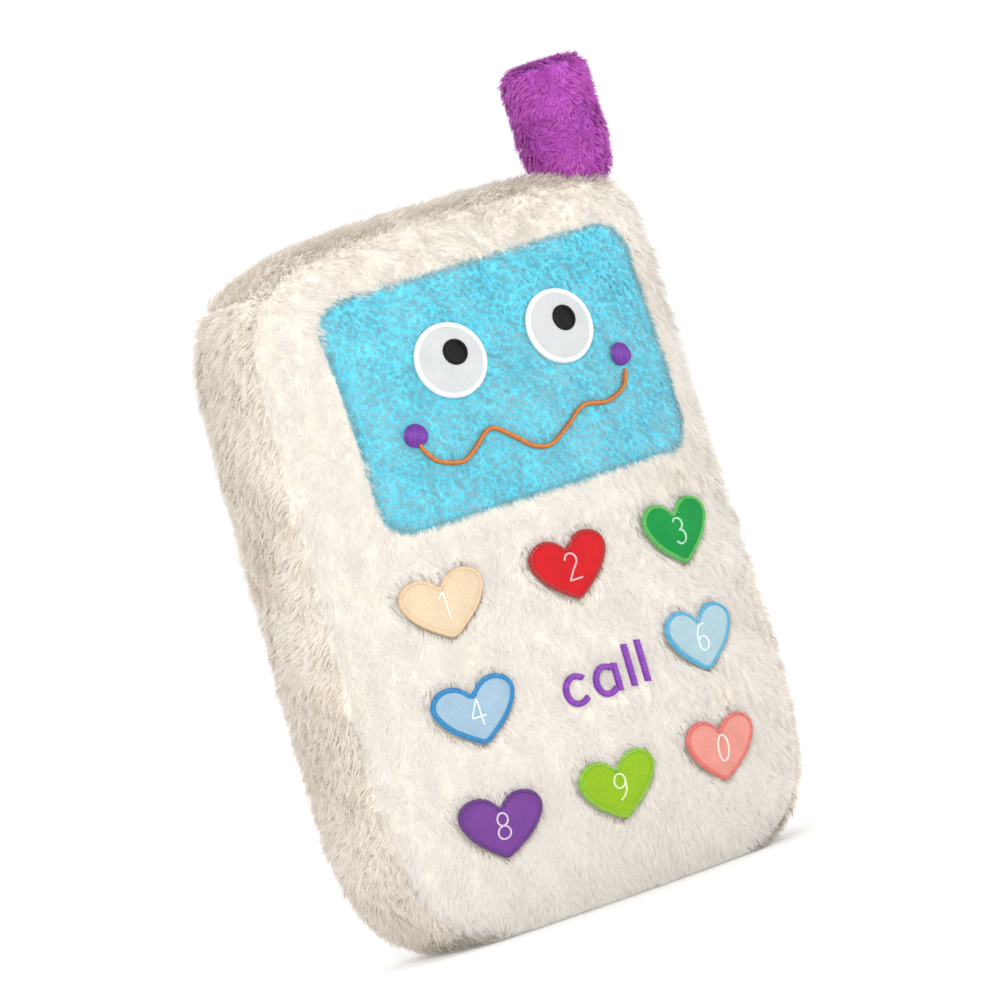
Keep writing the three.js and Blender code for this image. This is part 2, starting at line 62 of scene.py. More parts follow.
# ------------------------------------------------------------------ body surface
def half_widths(z):
    t = np.clip((z - ZC) / ZH, -1, 1)
    q = np.abs(t)
    low = np.maximum(0, 1 - q**6.8) ** (1 / 3)
    left = np.where(t < 0, low, np.maximum(0, 1 - q**13) ** (1 / 3))
    right = np.where(t < 0, low, np.maximum(0, 1 - q**20) ** 0.25)
    return (BODY_HALF_W - BODY_FLARE * t) * left, BODY_HALF_W * right


def swell(x, z):
    t = np.clip((z - ZC) / ZH, -1, 1)
    l, r = half_widths(z)
    s = np.minimum(1, np.abs(x / np.maximum(np.where(x < 0, l, r), 1e-6)))
    return (np.maximum(0, 1 - s**2.4) * (1 - t**4)) ** 0.8


def front_y(x, z):
    return -(GUSSET_W / 2 + GAP + PLUSH_T) - FRONT_BULGE * swell(x, z)


def back_y(x, z):
    return GUSSET_W / 2 + GAP + PLUSH_T + BACK_BULGE * swell(x, z)


def rounded_edge(x, z):
    """0 at the seam, 1 from a little way in: rolls the panels' rims over towards the seam."""
    s = np.clip(swell(x, z) / 0.16, 0, 1)
    return np.sqrt(1 - (1 - s) ** 2)


def cloth_front(x, z):
    return front_y(x, z) + 2.0 + 3.5 * (1 - rounded_edge(x, z))


def cloth_back(x, z):
    return back_y(x, z) - 2.0 - 3.5 * (1 - rounded_edge(x, z))


def surface_frame(f, x, z, sign):
    """Point and outward normal of y = f(x, z); sign -1 for the front, +1 for the back."""
    e = 0.5
    dx = (f(x + e, z) - f(x - e, z)) / (2 * e)
    dz = (f(x, z + e) - f(x, z - e)) / (2 * e)
    dx, dz = np.clip(dx, -4, 4), np.clip(dz, -4, 4)
    n = np.stack([-dx * sign, np.full_like(dx, sign), -dz * sign], -1)
    n /= np.linalg.norm(n, axis=-1, keepdims=True)
    return np.stack([x, f(x, z), z], -1), n


def outline(n=900):
    a = np.linspace(0, np.pi, 4001)
    z = ZC - ZH * np.cos(a)
    l, r = half_widths(z)
    p = np.concatenate([np.stack([r, z], 1), np.stack([-l[-2:0:-1], z[-2:0:-1]], 1)])
    q = np.concatenate([p, p[:1]])
    s = np.concatenate([[0], np.cumsum(np.hypot(*np.diff(q, axis=0).T))])
    t = s[-1] * np.arange(n) / n
    pts = np.stack([np.interp(t, s, q[:, 0]), np.interp(t, s, q[:, 1])], 1)
    d = np.roll(pts, -3, 0) - np.roll(pts, 3, 0)
    nm = np.stack([d[:, 1], -d[:, 0]], 1)
    nm /= np.linalg.norm(nm, axis=1, keepdims=True)
    return pts, nm, s[-1]


OUT_P, OUT_N, OUT_L = outline()


def strip_swell(y):
    return 5.5 * (1 - (np.abs(y) / (GUSSET_W / 2)) ** 2.6)


def strip_at(t, y, off):
    """Points and normals on the boxing strip: t along the seam in 0..1, y across, off outwards."""
    i = (t % 1.0) * len(OUT_P)
    a = np.floor(i).astype(int) % len(OUT_P)
    b = (a + 1) % len(OUT_P)
    f = (i - np.floor(i))[:, None]
    p = OUT_P[a] * (1 - f) + OUT_P[b] * f
    n = OUT_N[a] * (1 - f) + OUT_N[b] * f
    n /= np.linalg.norm(n, axis=1, keepdims=True)
    low_right = 3.2 * np.clip((230 - p[:, 1]) / 130, 0, 1) * np.clip(n[:, 0] * 1.5, 0, 1)
    high_left = 1.6 * np.clip((p[:, 1] - 250) / 60, 0, 1) * np.clip(-n[:, 0] * 1.5, 0, 1)
    g = off + strip_swell(y) + low_right - high_left
    e = 0.5
    dg = (strip_swell(y + e) - strip_swell(y - e)) / (2 * e)
    pos = np.stack([p[:, 0] + n[:, 0] * g, y, p[:, 1] + n[:, 1] * g], 1)
    nor = np.stack([n[:, 0], -dg, n[:, 1]], 1)
    nor /= np.linalg.norm(nor, axis=1, keepdims=True)
    return pos, nor


# ------------------------------------------------------------------ small tools
def wave(p, seed, size):
    """Smooth noise in -1..1 over points p (n, 3), features about size mm."""
    r = np.random.default_rng(seed)
    out = np.zeros(len(p))
    for k in range(7):
        d = r.normal(size=3)
        d /= np.linalg.norm(d)
        f = (0.55 + 0.9 * r.random()) * 2 * np.pi / size
        out += np.sin(p @ d * f + r.random() * 6.283)
    return np.clip(out / 3.2, -1, 1)


def unit(v):
    return v / np.maximum(np.linalg.norm(v, axis=-1, keepdims=True), 1e-9)


def mesh_from(name, verts, quads=None, tris=None, uv=None, normals=None, mat=None, smooth=True):
    """A mesh object from arrays in mm. uv is per vertex and goes into the layer named OFBake."""
    quads = np.zeros((0, 4), int) if quads is None else np.asarray(quads, int).reshape(-1, 4)
    tris = np.zeros((0, 3), int) if tris is None else np.asarray(tris, int).reshape(-1, 3)
    me = bpy.data.meshes.new(name)
    v = np.asarray(verts, dtype=np.float32) * MM
    me.vertices.add(len(v))
    me.vertices.foreach_set("co", v.ravel())
    loops = np.concatenate([quads.ravel(), tris.ravel()]).astype(np.int32)
    me.loops.add(len(loops))
    me.loops.foreach_set("vertex_index", loops)
    starts = np.concatenate([np.arange(len(quads)) * 4, len(quads) * 4 + np.arange(len(tris)) * 3]).astype(np.int32)
    me.polygons.add(len(starts))
    me.polygons.foreach_set("loop_start", starts)
    me.update(calc_edges=True)
    me.validate()
    if smooth:
        me.polygons.foreach_set("use_smooth", np.ones(len(me.polygons), bool))
    if uv is not None:
        layer = me.uv_layers.new(name="OFBake")
        idx = np.empty(len(me.loops), np.int32)
        me.loops.foreach_get("vertex_index", idx)
        layer.data.foreach_set("uv", np.asarray(uv, np.float32)[idx].ravel())
    if normals is not None:
        me.normals_split_custom_set_from_vertices(np.asarray(normals, np.float32))
    me.update()
    o = bpy.data.objects.new(name, me)
    bpy.context.scene.collection.objects.link(o)
    if mat:
        me.materials.append(mat)
    return o


def put(o, body, slot, *nodes):
    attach(o, body)
    if nodes:
        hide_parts(*nodes)
    return o


def grid_quads(rows, cols, closed=True, start=0):
    i, j = np.meshgrid(np.arange(rows - 1), np.arange(cols if closed else cols - 1), indexing="ij")
    k = (j + 1) % cols
    return np.stack([start + i * cols + j, start + (i + 1) * cols + j, start + (i + 1) * cols + k, start + i * cols + k], -1).reshape(-1, 4)


# ------------------------------------------------------------------ materials
def new_mat(name):
    m = bpy.data.materials.new(name)
    m.use_nodes = True
    nt = m.node_tree
    b = nt.nodes["Principled BSDF"]
    return m, nt, b


def ramp(nt, stops):
    r = nt.nodes.new("ShaderNodeValToRGB")
    e = r.color_ramp.elements
    while len(e) > 1:
        e.remove(e[-1])
    e[0].position, e[0].color = stops[0][0], (*stops[0][1], 1)
    for pos, col in stops[1:]:
        x = e.new(pos)
        x.color = (*col, 1)
    return r


def lin(rgb):
    return tuple(c / 12.92 if c <= 0.04045 else ((c + 0.055) / 1.055) ** 2.4 for c in rgb)


def fur_mat(name, root_shade, low, tip_a, tip_b, rough=0.9, sheen=0.2, tint=(1, 1, 1), spec=0.1, mid=0.35, through=0.35):
    """Pile: painted shade darkening each strand from tip to root runs along v of the strand map, and each strand's own
    tone along u. Part of the light passes through it.
    """
    m, nt, b = new_mat(name)
    uv = nt.nodes.new("ShaderNodeUVMap")
    uv.uv_map = "OFBake"
    sep = nt.nodes.new("ShaderNodeSeparateXYZ")
    nt.links.new(uv.outputs[0], sep.inputs[0])
    ra = ramp(nt, [(0, lin(root_shade)), (mid, lin(low)), (1, lin(tip_a))])
    rb = ramp(nt, [(0, lin(root_shade)), (mid, lin(low)), (1, lin(tip_b))])
    mix = nt.nodes.new("ShaderNodeMix")
    mix.data_type = "RGBA"
    for r in (ra, rb):
        nt.links.new(sep.outputs[1], r.inputs[0])
    nt.links.new(sep.outputs[0], mix.inputs[0])
    nt.links.new(ra.outputs[0], mix.inputs[6])
    nt.links.new(rb.outputs[0], mix.inputs[7])
    nt.links.new(mix.outputs[2], b.inputs["Base Color"])
    b.inputs["Roughness"].default_value = rough
    b.inputs["Sheen Weight"].default_value = sheen
    b.inputs["Sheen Roughness"].default_value = 0.5
    b.inputs["Sheen Tint"].default_value = (*tint, 1)
    b.inputs["Specular IOR Level"].default_value = spec
    if through:
        t = nt.nodes.new("ShaderNodeBsdfTranslucent")
        nt.links.new(mix.outputs[2], t.inputs[0])
        ms = nt.nodes.new("ShaderNodeMixShader")
        ms.inputs[0].default_value = through
        nt.links.new(b.outputs[0], ms.inputs[1])
        nt.links.new(t.outputs[0], ms.inputs[2])
        nt.links.new(ms.outputs[0], nt.nodes["Material Output"].inputs["Surface"])
    return m


def cloth_mat(name, a, b_, scale=700, rough=0.92, bump=0.25, sheen=0.2, patch=None, dist=0.0006):
    """Woven or brushed cloth: fine noise with a larger soft patchiness."""
    m, nt, b = new_mat(name)
    tc = nt.nodes.new("ShaderNodeTexCoord")
    n1 = nt.nodes.new("ShaderNodeTexNoise")
    n1.inputs["Scale"].default_value = scale
    n1.inputs["Detail"].default_value = 4
    n2 = nt.nodes.new("ShaderNodeTexNoise")
    n2.inputs["Scale"].default_value = patch or scale / 12
    n2.inputs["Detail"].default_value = 3
    add = nt.nodes.new("ShaderNodeMath")
    add.operation = "ADD"
    half = nt.nodes.new("ShaderNodeMath")
    half.operation = "MULTIPLY"
    half.inputs[1].default_value = 0.5
    r = ramp(nt, [(0.3, lin(a)), (0.7, lin(b_))])
    for n in (n1, n2):
        nt.links.new(tc.outputs["Object"], n.inputs["Vector"])
    nt.links.new(n1.outputs[0], add.inputs[0])
    nt.links.new(n2.outputs[0], add.inputs[1])
    nt.links.new(add.outputs[0], half.inputs[0])
    nt.links.new(half.outputs[0], r.inputs[0])
    nt.links.new(r.outputs[0], b.inputs["Base Color"])
    bp = nt.nodes.new("ShaderNodeBump")
    bp.inputs["Strength"].default_value = bump
    bp.inputs["Distance"].default_value = dist
    nt.links.new(n1.outputs[0], bp.inputs["Height"])
    nt.links.new(bp.outputs[0], b.inputs["Normal"])
    b.inputs["Roughness"].default_value = rough
    b.inputs["Sheen Weight"].default_value = sheen
    b.inputs["Specular IOR Level"].default_value = 0.2
    return m


def thread_mat(name, a, b_, rough=0.42, sheen=0.15, spec=0.45):
    """Embroidery thread: a tone for each stitch along u, which also carries the painted highlight and shade that
    stitches() puts there.
    """
    m, nt, b = new_mat(name)
    uv = nt.nodes.new("ShaderNodeUVMap")
    uv.uv_map = "OFBake"
    sep = nt.nodes.new("ShaderNodeSeparateXYZ")
    r = ramp(nt, [(0.0, lin(a)), (1.0, lin(b_))])
    nt.links.new(uv.outputs[0], sep.inputs[0])
    nt.links.new(sep.outputs[0], r.inputs[0])
    nt.links.new(r.outputs[0], b.inputs["Base Color"])
    b.inputs["Roughness"].default_value = rough
    b.inputs["Sheen Weight"].default_value = sheen
    b.inputs["Specular IOR Level"].default_value = spec
    return m


def hard_mat(name, a, b_, rough=(0.4, 0.6), scale=900, metal=0.0, bump=0.12, coat=0.0):
    """Moulded plastic or metal: tone, gloss and a fine grain from noise."""
    m, nt, b = new_mat(name)
    tc = nt.nodes.new("ShaderNodeTexCoord")
    n1 = nt.nodes.new("ShaderNodeTexNoise")
    n1.inputs["Scale"].default_value = scale
    n1.inputs["Detail"].default_value = 3
    n2 = nt.nodes.new("ShaderNodeTexNoise")
    n2.inputs["Scale"].default_value = 60
    n2.inputs["Detail"].default_value = 5
    for n in (n1, n2):
        nt.links.new(tc.outputs["Object"], n.inputs["Vector"])
    r = ramp(nt, [(0.3, lin(a)), (0.7, lin(b_))])
    nt.links.new(n2.outputs[0], r.inputs[0])
    nt.links.new(r.outputs[0], b.inputs["Base Color"])
    mr = nt.nodes.new("ShaderNodeMapRange")
    mr.inputs["To Min"].default_value, mr.inputs["To Max"].default_value = rough
    nt.links.new(n2.outputs[0], mr.inputs["Value"])
    nt.links.new(mr.outputs[0], b.inputs["Roughness"])
    bp = nt.nodes.new("ShaderNodeBump")
    bp.inputs["Strength"].default_value = bump
    bp.inputs["Distance"].default_value = 0.0002
    nt.links.new(n1.outputs[0], bp.inputs["Height"])
    nt.links.new(bp.outputs[0], b.inputs["Normal"])
    b.inputs["Metallic"].default_value = metal
    b.inputs["Coat Weight"].default_value = coat
    return m


# the first two colours of each pile below are painted shade, darkening the strands towards their roots
CREAM_FUR = fur_mat("cream_fur", (0.93, 0.90, 0.86), (0.975, 0.96, 0.94), (0.995, 0.99, 0.982), (0.98, 0.965, 0.945), through=0.4)
# painted shade: a darker, warmer copy of the cream pile for the boxing strip, which is the same plush as the front
CREAM_SIDE_SHADED = fur_mat("cream_side_fur_shaded", (0.90, 0.86, 0.80), (0.965, 0.94, 0.905), (0.99, 0.98, 0.965), (0.935, 0.895, 0.835), through=0.4)
# painted shade: the backing under the cream pile is a little darker and warmer than the strand tips, as shade among the
# roots
CREAM_CLOTH = cloth_mat("cream_backing", (0.92, 0.89, 0.84), (0.96, 0.94, 0.90), 900, patch=60)
SCREEN_FUR = fur_mat("screen_pile", (0.34, 0.66, 0.71), (0.60, 0.79, 0.83), (0.74, 0.86, 0.885), (0.38, 0.70, 0.765), sheen=0.15)
SCREEN_CLOTH = cloth_mat("screen_backing", (0.26, 0.72, 0.82), (0.42, 0.84, 0.91), 900, patch=70)
ANT_FUR = fur_mat("antenna_fur", (0.58, 0.20, 0.58), (0.78, 0.36, 0.76), (0.88, 0.52, 0.87), (0.72, 0.27, 0.72), sheen=0.2)
ANT_CLOTH = cloth_mat("antenna_backing", (0.66, 0.30, 0.70), (0.75, 0.38, 0.78), 900, patch=70)
FELT = cloth_mat("white_felt", (0.71, 0.722, 0.728), (0.77, 0.778, 0.782), 1600, bump=0.5, patch=120)
LINING = cloth_mat("pocket_lining", (0.90, 0.89, 0.87), (0.97, 0.96, 0.94), 1800, bump=0.3, patch=90)


# ------------------------------------------------------------------ fur
def hash01(a, b, seed):
    h = np.sin(a * 127.1 + b * 311.7 + seed * 74.7) * 43758.5453
    return h - np.floor(h)


def clump(u, v, size, seed):
    """Offset from each point to the middle of its tuft, and a number in 0..1 for the tuft."""
    cu, cv = np.floor(u / size), np.floor(v / size)
    best = np.full(u.shape, 1e9)
    du, dv, tag = np.zeros_like(u), np.zeros_like(u), np.zeros_like(u)
    for i in (-1, 0, 1):
        for j in (-1, 0, 1):
            a, b = cu + i, cv + j
            x = (a + hash01(a, b, seed)) * size - u
            y = (b + hash01(a, b, seed + 5)) * size - v
            d = x * x + y * y
            hit = d < best
            best = np.where(hit, d, best)
            du, dv = np.where(hit, x, du), np.where(hit, y, dv)
            tag = np.where(hit, hash01(a, b, seed + 9), tag)
    return du, dv, tag


def fur(name, P, N, D, L, W, mat, seed, up0=58, up1=20, pull=None, shade=None, segs=2, sink=0.6, soft=0.75, floor=0.25, over=None):
    """Tapered strands. P roots, N normals, D the way they lean, L lengths, W widths; pull moves the tips sideways."""
    r = np.random.default_rng(seed)
    n = len(P)
    D = unit(D - N * np.sum(D * N, 1, keepdims=True))
    S = np.cross(D, N)
    turn = r.normal(0, 0.22, n)[:, None]
    D = unit(D * np.cos(turn) + S * np.sin(turn))
    a0 = np.radians(up0 + r.normal(0, 9, n))[:, None]
    a1 = np.radians(up1 + r.normal(0, 10, n))[:, None]
    d0 = D * np.cos(a0) + N * np.sin(a0)
    d1 = unit(D * np.cos(a1) + N * np.sin(a1))
    L = L[:, None]
    W = W[:, None]
    side = unit(np.cross(d0, N) + r.normal(0, 0.22, (n, 3)))
    p0 = P - N * sink
    p1 = p0 + d0 * L * 0.5
    p2 = p1 + d1 * L * 0.5
    if pull is not None:
        p1 = p1 + pull * 0.3
        p2 = p2 + pull
    tone = np.clip(r.random(n) if shade is None else shade, 0.01, 0.99)
    face = np.cross(side, unit(p2 - p0))
    flip = np.sum(face * N, 1) < 0
    side[flip] *= -1
    face[flip] *= -1
    nn = unit((N if over is None else unit(N + over)) * soft + unit(face) * (1 - soft))
    if segs == 2:
        V = np.stack([p0 - side * W / 2, p0 + side * W / 2, p1 - side * W * 0.45, p1 + side * W * 0.45, p2], 1)
        uv = np.stack([np.repeat(tone[:, None], 5, 1), np.tile([0.0, 0.0, 0.5, 0.5, 1.0], (n, 1))], -1)
        base = np.arange(n)[:, None] * 5
        quads = base + np.array([[0, 1, 3, 2]])
        tris = base + np.array([[2, 3, 4]])
        k = 5
    else:
        V = np.stack([p0 - side * W / 2, p0 + side * W / 2, p2], 1)
        uv = np.stack([np.repeat(tone[:, None], 3, 1), np.tile([0.0, 0.0, 1.0], (n, 1))], -1)
        base = np.arange(n)[:, None] * 3
        quads = None
        tris = base + np.array([[0, 1, 2]])
        k = 3
    V = V.reshape(-1, 3)
    V[:, 2] = np.maximum(V[:, 2], floor)
    nr = np.repeat(nn[:, None, :], k, 1).reshape(-1, 3)
    return mesh_from(name, V, quads, tris, uv.reshape(-1, 2), nr, mat)


def inside(poly, x, z):
    """Which points lie in a closed polygon of (x, z) points."""
    c = np.zeros(x.shape, bool)
    px, pz = poly[:, 0], poly[:, 1]
    for i in range(len(poly)):
        x0, z0, x1, z1 = px[i - 1], pz[i - 1], px[i], pz[i]
        if z0 == z1:
            continue
        c ^= ((z0 > z) != (z1 > z)) & (x < (x1 - x0) * (z - z0) / (z1 - z0) + x0)
    return c


def rounded_rect(x0, x1, z0, z1, r, n=10):
    out = []
    for cx, cz, a0 in ((x1 - r, z1 - r, 0), (x0 + r, z1 - r, 90), (x0 + r, z0 + r, 180), (x1 - r, z0 + r, 270)):
        for i in range(n + 1):
            a = math.radians(a0 + 90 * i / n)
            out.append((cx + r * math.cos(a), cz + r * math.sin(a)))
    return np.array(out)


def even(poly, n, closed=True):
    q = np.concatenate([poly, poly[:1]]) if closed else np.asarray(poly, float)
    s = np.concatenate([[0], np.cumsum(np.linalg.norm(np.diff(q, axis=0), axis=1))])
    t = s[-1] * (np.arange(n) / n if closed else np.linspace(0, 1, n))
    return np.stack([np.interp(t, s, q[:, k]) for k in range(q.shape[1])], 1)


def smooth_path(pts, per=12, closed=False):
    """Catmull-Rom through points."""
    p = np.array(pts, float)
    if closed:
        ext = np.concatenate([p[-1:], p, p[:2]])
    else:
        ext = np.concatenate([2 * p[:1] - p[1:2], p, 2 * p[-1:] - p[-2:-1]])
    out = []
    for i in range(len(ext) - 3):
        a, b, c, d = ext[i : i + 4]
        for t in np.linspace(0, 1, per, endpoint=False):
            out.append(0.5 * (2 * b + (c - a) * t + (2 * a - 5 * b + 4 * c - d) * t**2 + (3 * b - a - 3 * c + d) * t**3))
    if not closed:
        out.append(p[-1])
    return np.array(out)


# ------------------------------------------------------------------ key frames and hearts
def key_frame(x, z, turn):
    p, n = surface_frame(front_y, np.array([x]), np.array([z]), -1)
    out = Vector(n[0])
    back = -out
    side = back.cross(Vector((0, 0, 1))).normalized()
    up = side.cross(back).normalized()
    m = Matrix((side, back, up)).transposed()
    r = Matrix.Rotation(math.radians(-turn), 3, "Y")
    return np.array(p[0]), np.array(m @ r)


def heart_outline(inset=0.0, n=160, ease=2):
    t = np.linspace(0, 2 * np.pi, 800, endpoint=False)
    x = 16 * np.sin(t) ** 3
    z = 13 * np.cos(t) - 5 * np.cos(2 * t) - 2 * np.cos(3 * t) - np.cos(4 * t)
    u, v = x / 16, (z + 2.53) / 14.53
    f = np.clip((0.4 - v) / 0.8, 0, 1)
    power = 0.92 - 0.34 * f * f * (3 - 2 * f)
    p = np.stack([HEART_W / 2 * np.sign(u) * np.abs(u) ** power, HEART_H / 2 * v], 1)[::-1]
    p = even(p, n)
    for _ in range(int(ease * n / 100)):
        p = p * 0.5 + (np.roll(p, 1, 0) + np.roll(p, -1, 0)) * 0.25
    if inset:
        d = np.roll(p, -1, 0) - np.roll(p, 1, 0)
        nm = unit(np.stack([d[:, 1], -d[:, 0]], 1))
        p = p - nm * inset
    return p


FRAMES = {k: key_frame(x, z, t) for k, x, z, t in KEYS}


def to_world(key, q, w):
    """Points in a key's own plane: q (n, 2) across and up, w outwards."""
    o, m = FRAMES[key]
    q = np.asarray(q, float)
    w = np.broadcast_to(np.asarray(w, float), (len(q),))
    return o + q[:, :1] * m[:, 0] + q[:, 1:2] * m[:, 2] - w[:, None] * m[:, 1]


HEART_XZ = {k: to_world(k, heart_outline(), 0.0)[:, [0, 2]] for k, *_ in KEYS}
HEART_XZ_IN = {k: to_world(k, heart_outline(2.0), 0.0)[:, [0, 2]] for k, *_ in KEYS}
HEART_XZ_OUT = {k: to_world(k, heart_outline(-0.6), 0.0)[:, [0, 2]] for k, *_ in KEYS}
HEART_HOLLOW = {k: to_world(k, heart_outline(-2.2), 0.0)[:, [0, 2]] for k, *_ in KEYS}
SCREEN_XZ = rounded_rect(*SCREEN)
SCREEN_LAP = rounded_rect(SCREEN[0] + 0.5, SCREEN[1] - 1.0, SCREEN[2] + 0.5, SCREEN[3] - 0.5, SCREEN[4])
SCREEN_LAP_IN = rounded_rect(SCREEN[0] + 4, SCREEN[1] - 4, SCREEN[2] + 4, SCREEN[3] - 4, SCREEN[4] - 3)
SCREEN_IN = rounded_rect(SCREEN[0] + 2, SCREEN[1] - 2, SCREEN[2] + 2, SCREEN[3] - 2.5, SCREEN[4] - 2)


# ------------------------------------------------------------------ label strokes
def label_paths():
    """Lower-case letters c a l l in plain round strokes, as (x, z) from the label's middle."""
    def arc(cx, cz, rx, rz, a0, a1, n=18):
        a = np.radians(np.linspace(a0, a1, n))
        return np.stack([cx + rx * np.cos(a), cz + rz * np.sin(a)], 1)

    base = -7.2
    xh = 13.6
    mid = base + xh / 2
    out = [arc(-17.2, mid, 6.2, xh / 2, 48, 312)]
    out.append(arc(-0.4, mid, 6.0, xh / 2, 50, 310))
    out.append(np.array([(5.4, base + xh), (5.4, base)]))
    out.append(np.array([(13.6, base + 20.6), (13.6, base)]))
    out.append(np.array([(21.4, base + 20.6), (21.4, base)]))
    return [even(p, 40, closed=False) for p in out]


LABEL_PATHS = label_paths()
LABEL_PTS = np.concatenate(LABEL_PATHS) + np.array(LABEL)


def near_label(x, z, d):
    m = np.zeros(x.shape, bool)
    for q in LABEL_PTS[::2]:
        m |= (x - q[0]) ** 2 + (z - q[1]) ** 2 < d * d
    return m


# ------------------------------------------------------------------ body cloth
def body_cloth():
    n = 330
    o = even(OUT_P, n)
    qs = np.concatenate([np.linspace(0.04, 0.9, 76), np.linspace(0.912, 1.0, 14)])
    mid = np.array([0, ZC])
    rows = []
    for q in qs:
        p = mid + q * (o - mid)
        y = cloth_front(p[:, 0], p[:, 1])
        for k in HEART_XZ:
            y = np.where(inside(HEART_HOLLOW[k], p[:, 0], p[:, 1]), y + 4.4, y)
        y = np.where(inside(SCREEN_IN, p[:, 0], p[:, 1]), y + 2.0, y)
        rows.append(np.stack([p[:, 0], y, p[:, 1]], 1))
    front_rows = len(rows)
    ts = np.arange(n) / n
    # the strip shares the outline's points, so find their place along it
    for y in np.linspace(-GUSSET_W / 2 + 1.5, GUSSET_W / 2 - 1.5, 17):
        pos, _ = strip_at(ts, np.full(n, y), 0.2)
        rows.append(pos)
    strip_rows = len(rows)
    for q in qs[::-1]:
        p = mid + q * (o - mid)
        rows.append(np.stack([p[:, 0], cloth_back(p[:, 0], p[:, 1]), p[:, 1]], 1))
    V = np.concatenate(rows)
    V[:, 2] = np.maximum(V[:, 2], 0.5)
    quads = grid_quads(len(rows), n)
    # the opening at the back is cut out
    hole = inside(rounded_rect(*OPENING), V[:, 0], V[:, 2]) & (np.arange(len(V)) >= strip_rows * n)
    quads = quads[~hole[quads].all(1)]
    c0, c1 = len(V), len(V) + 1
    # the grid's centre point lies under key 2, so it needs the hollow too
    mid_y = cloth_front(np.array([0.0]), np.array([ZC]))[0]
    if any(inside(HEART_HOLLOW[k], np.array([0.0]), np.array([ZC]))[0] for k in HEART_XZ):
        mid_y += 4.4
    V = np.concatenate([V, [[0, mid_y, ZC], [0, cloth_back(np.array([0.0]), np.array([ZC]))[0], ZC]]])
    j = np.arange(n)
    last = (len(rows) - 1) * n
    tris = np.concatenate([np.stack([np.full(n, c0), j, (j + 1) % n], 1), np.stack([np.full(n, c1), last + (j + 1) % n, last + j], 1)])
    return put(mesh_from("body_cloth", V, quads, tris, mat=CREAM_CLOTH), ROOT, "cream_plush", "front_panel", "gusset", "back_panel")


def front_points(n, seed, f=cloth_front, sign=-1):
    r = np.random.default_rng(seed)
    x = r.uniform(-120, 116, n * 2)
    z = r.uniform(BODY_Z0, BODY_Z1, n * 2)
    l, rr = half_widths(z)
    ok = (x > -l * 0.998) & (x < rr * 0.998) & (z > 0)
    x, z = x[ok], z[ok]
    P, N = surface_frame(f, x, z, sign)
    ok = r.random(len(x)) < np.minimum(1 / np.abs(N[:, 1]), 3) / 2.2
    return P[ok], N[ok]


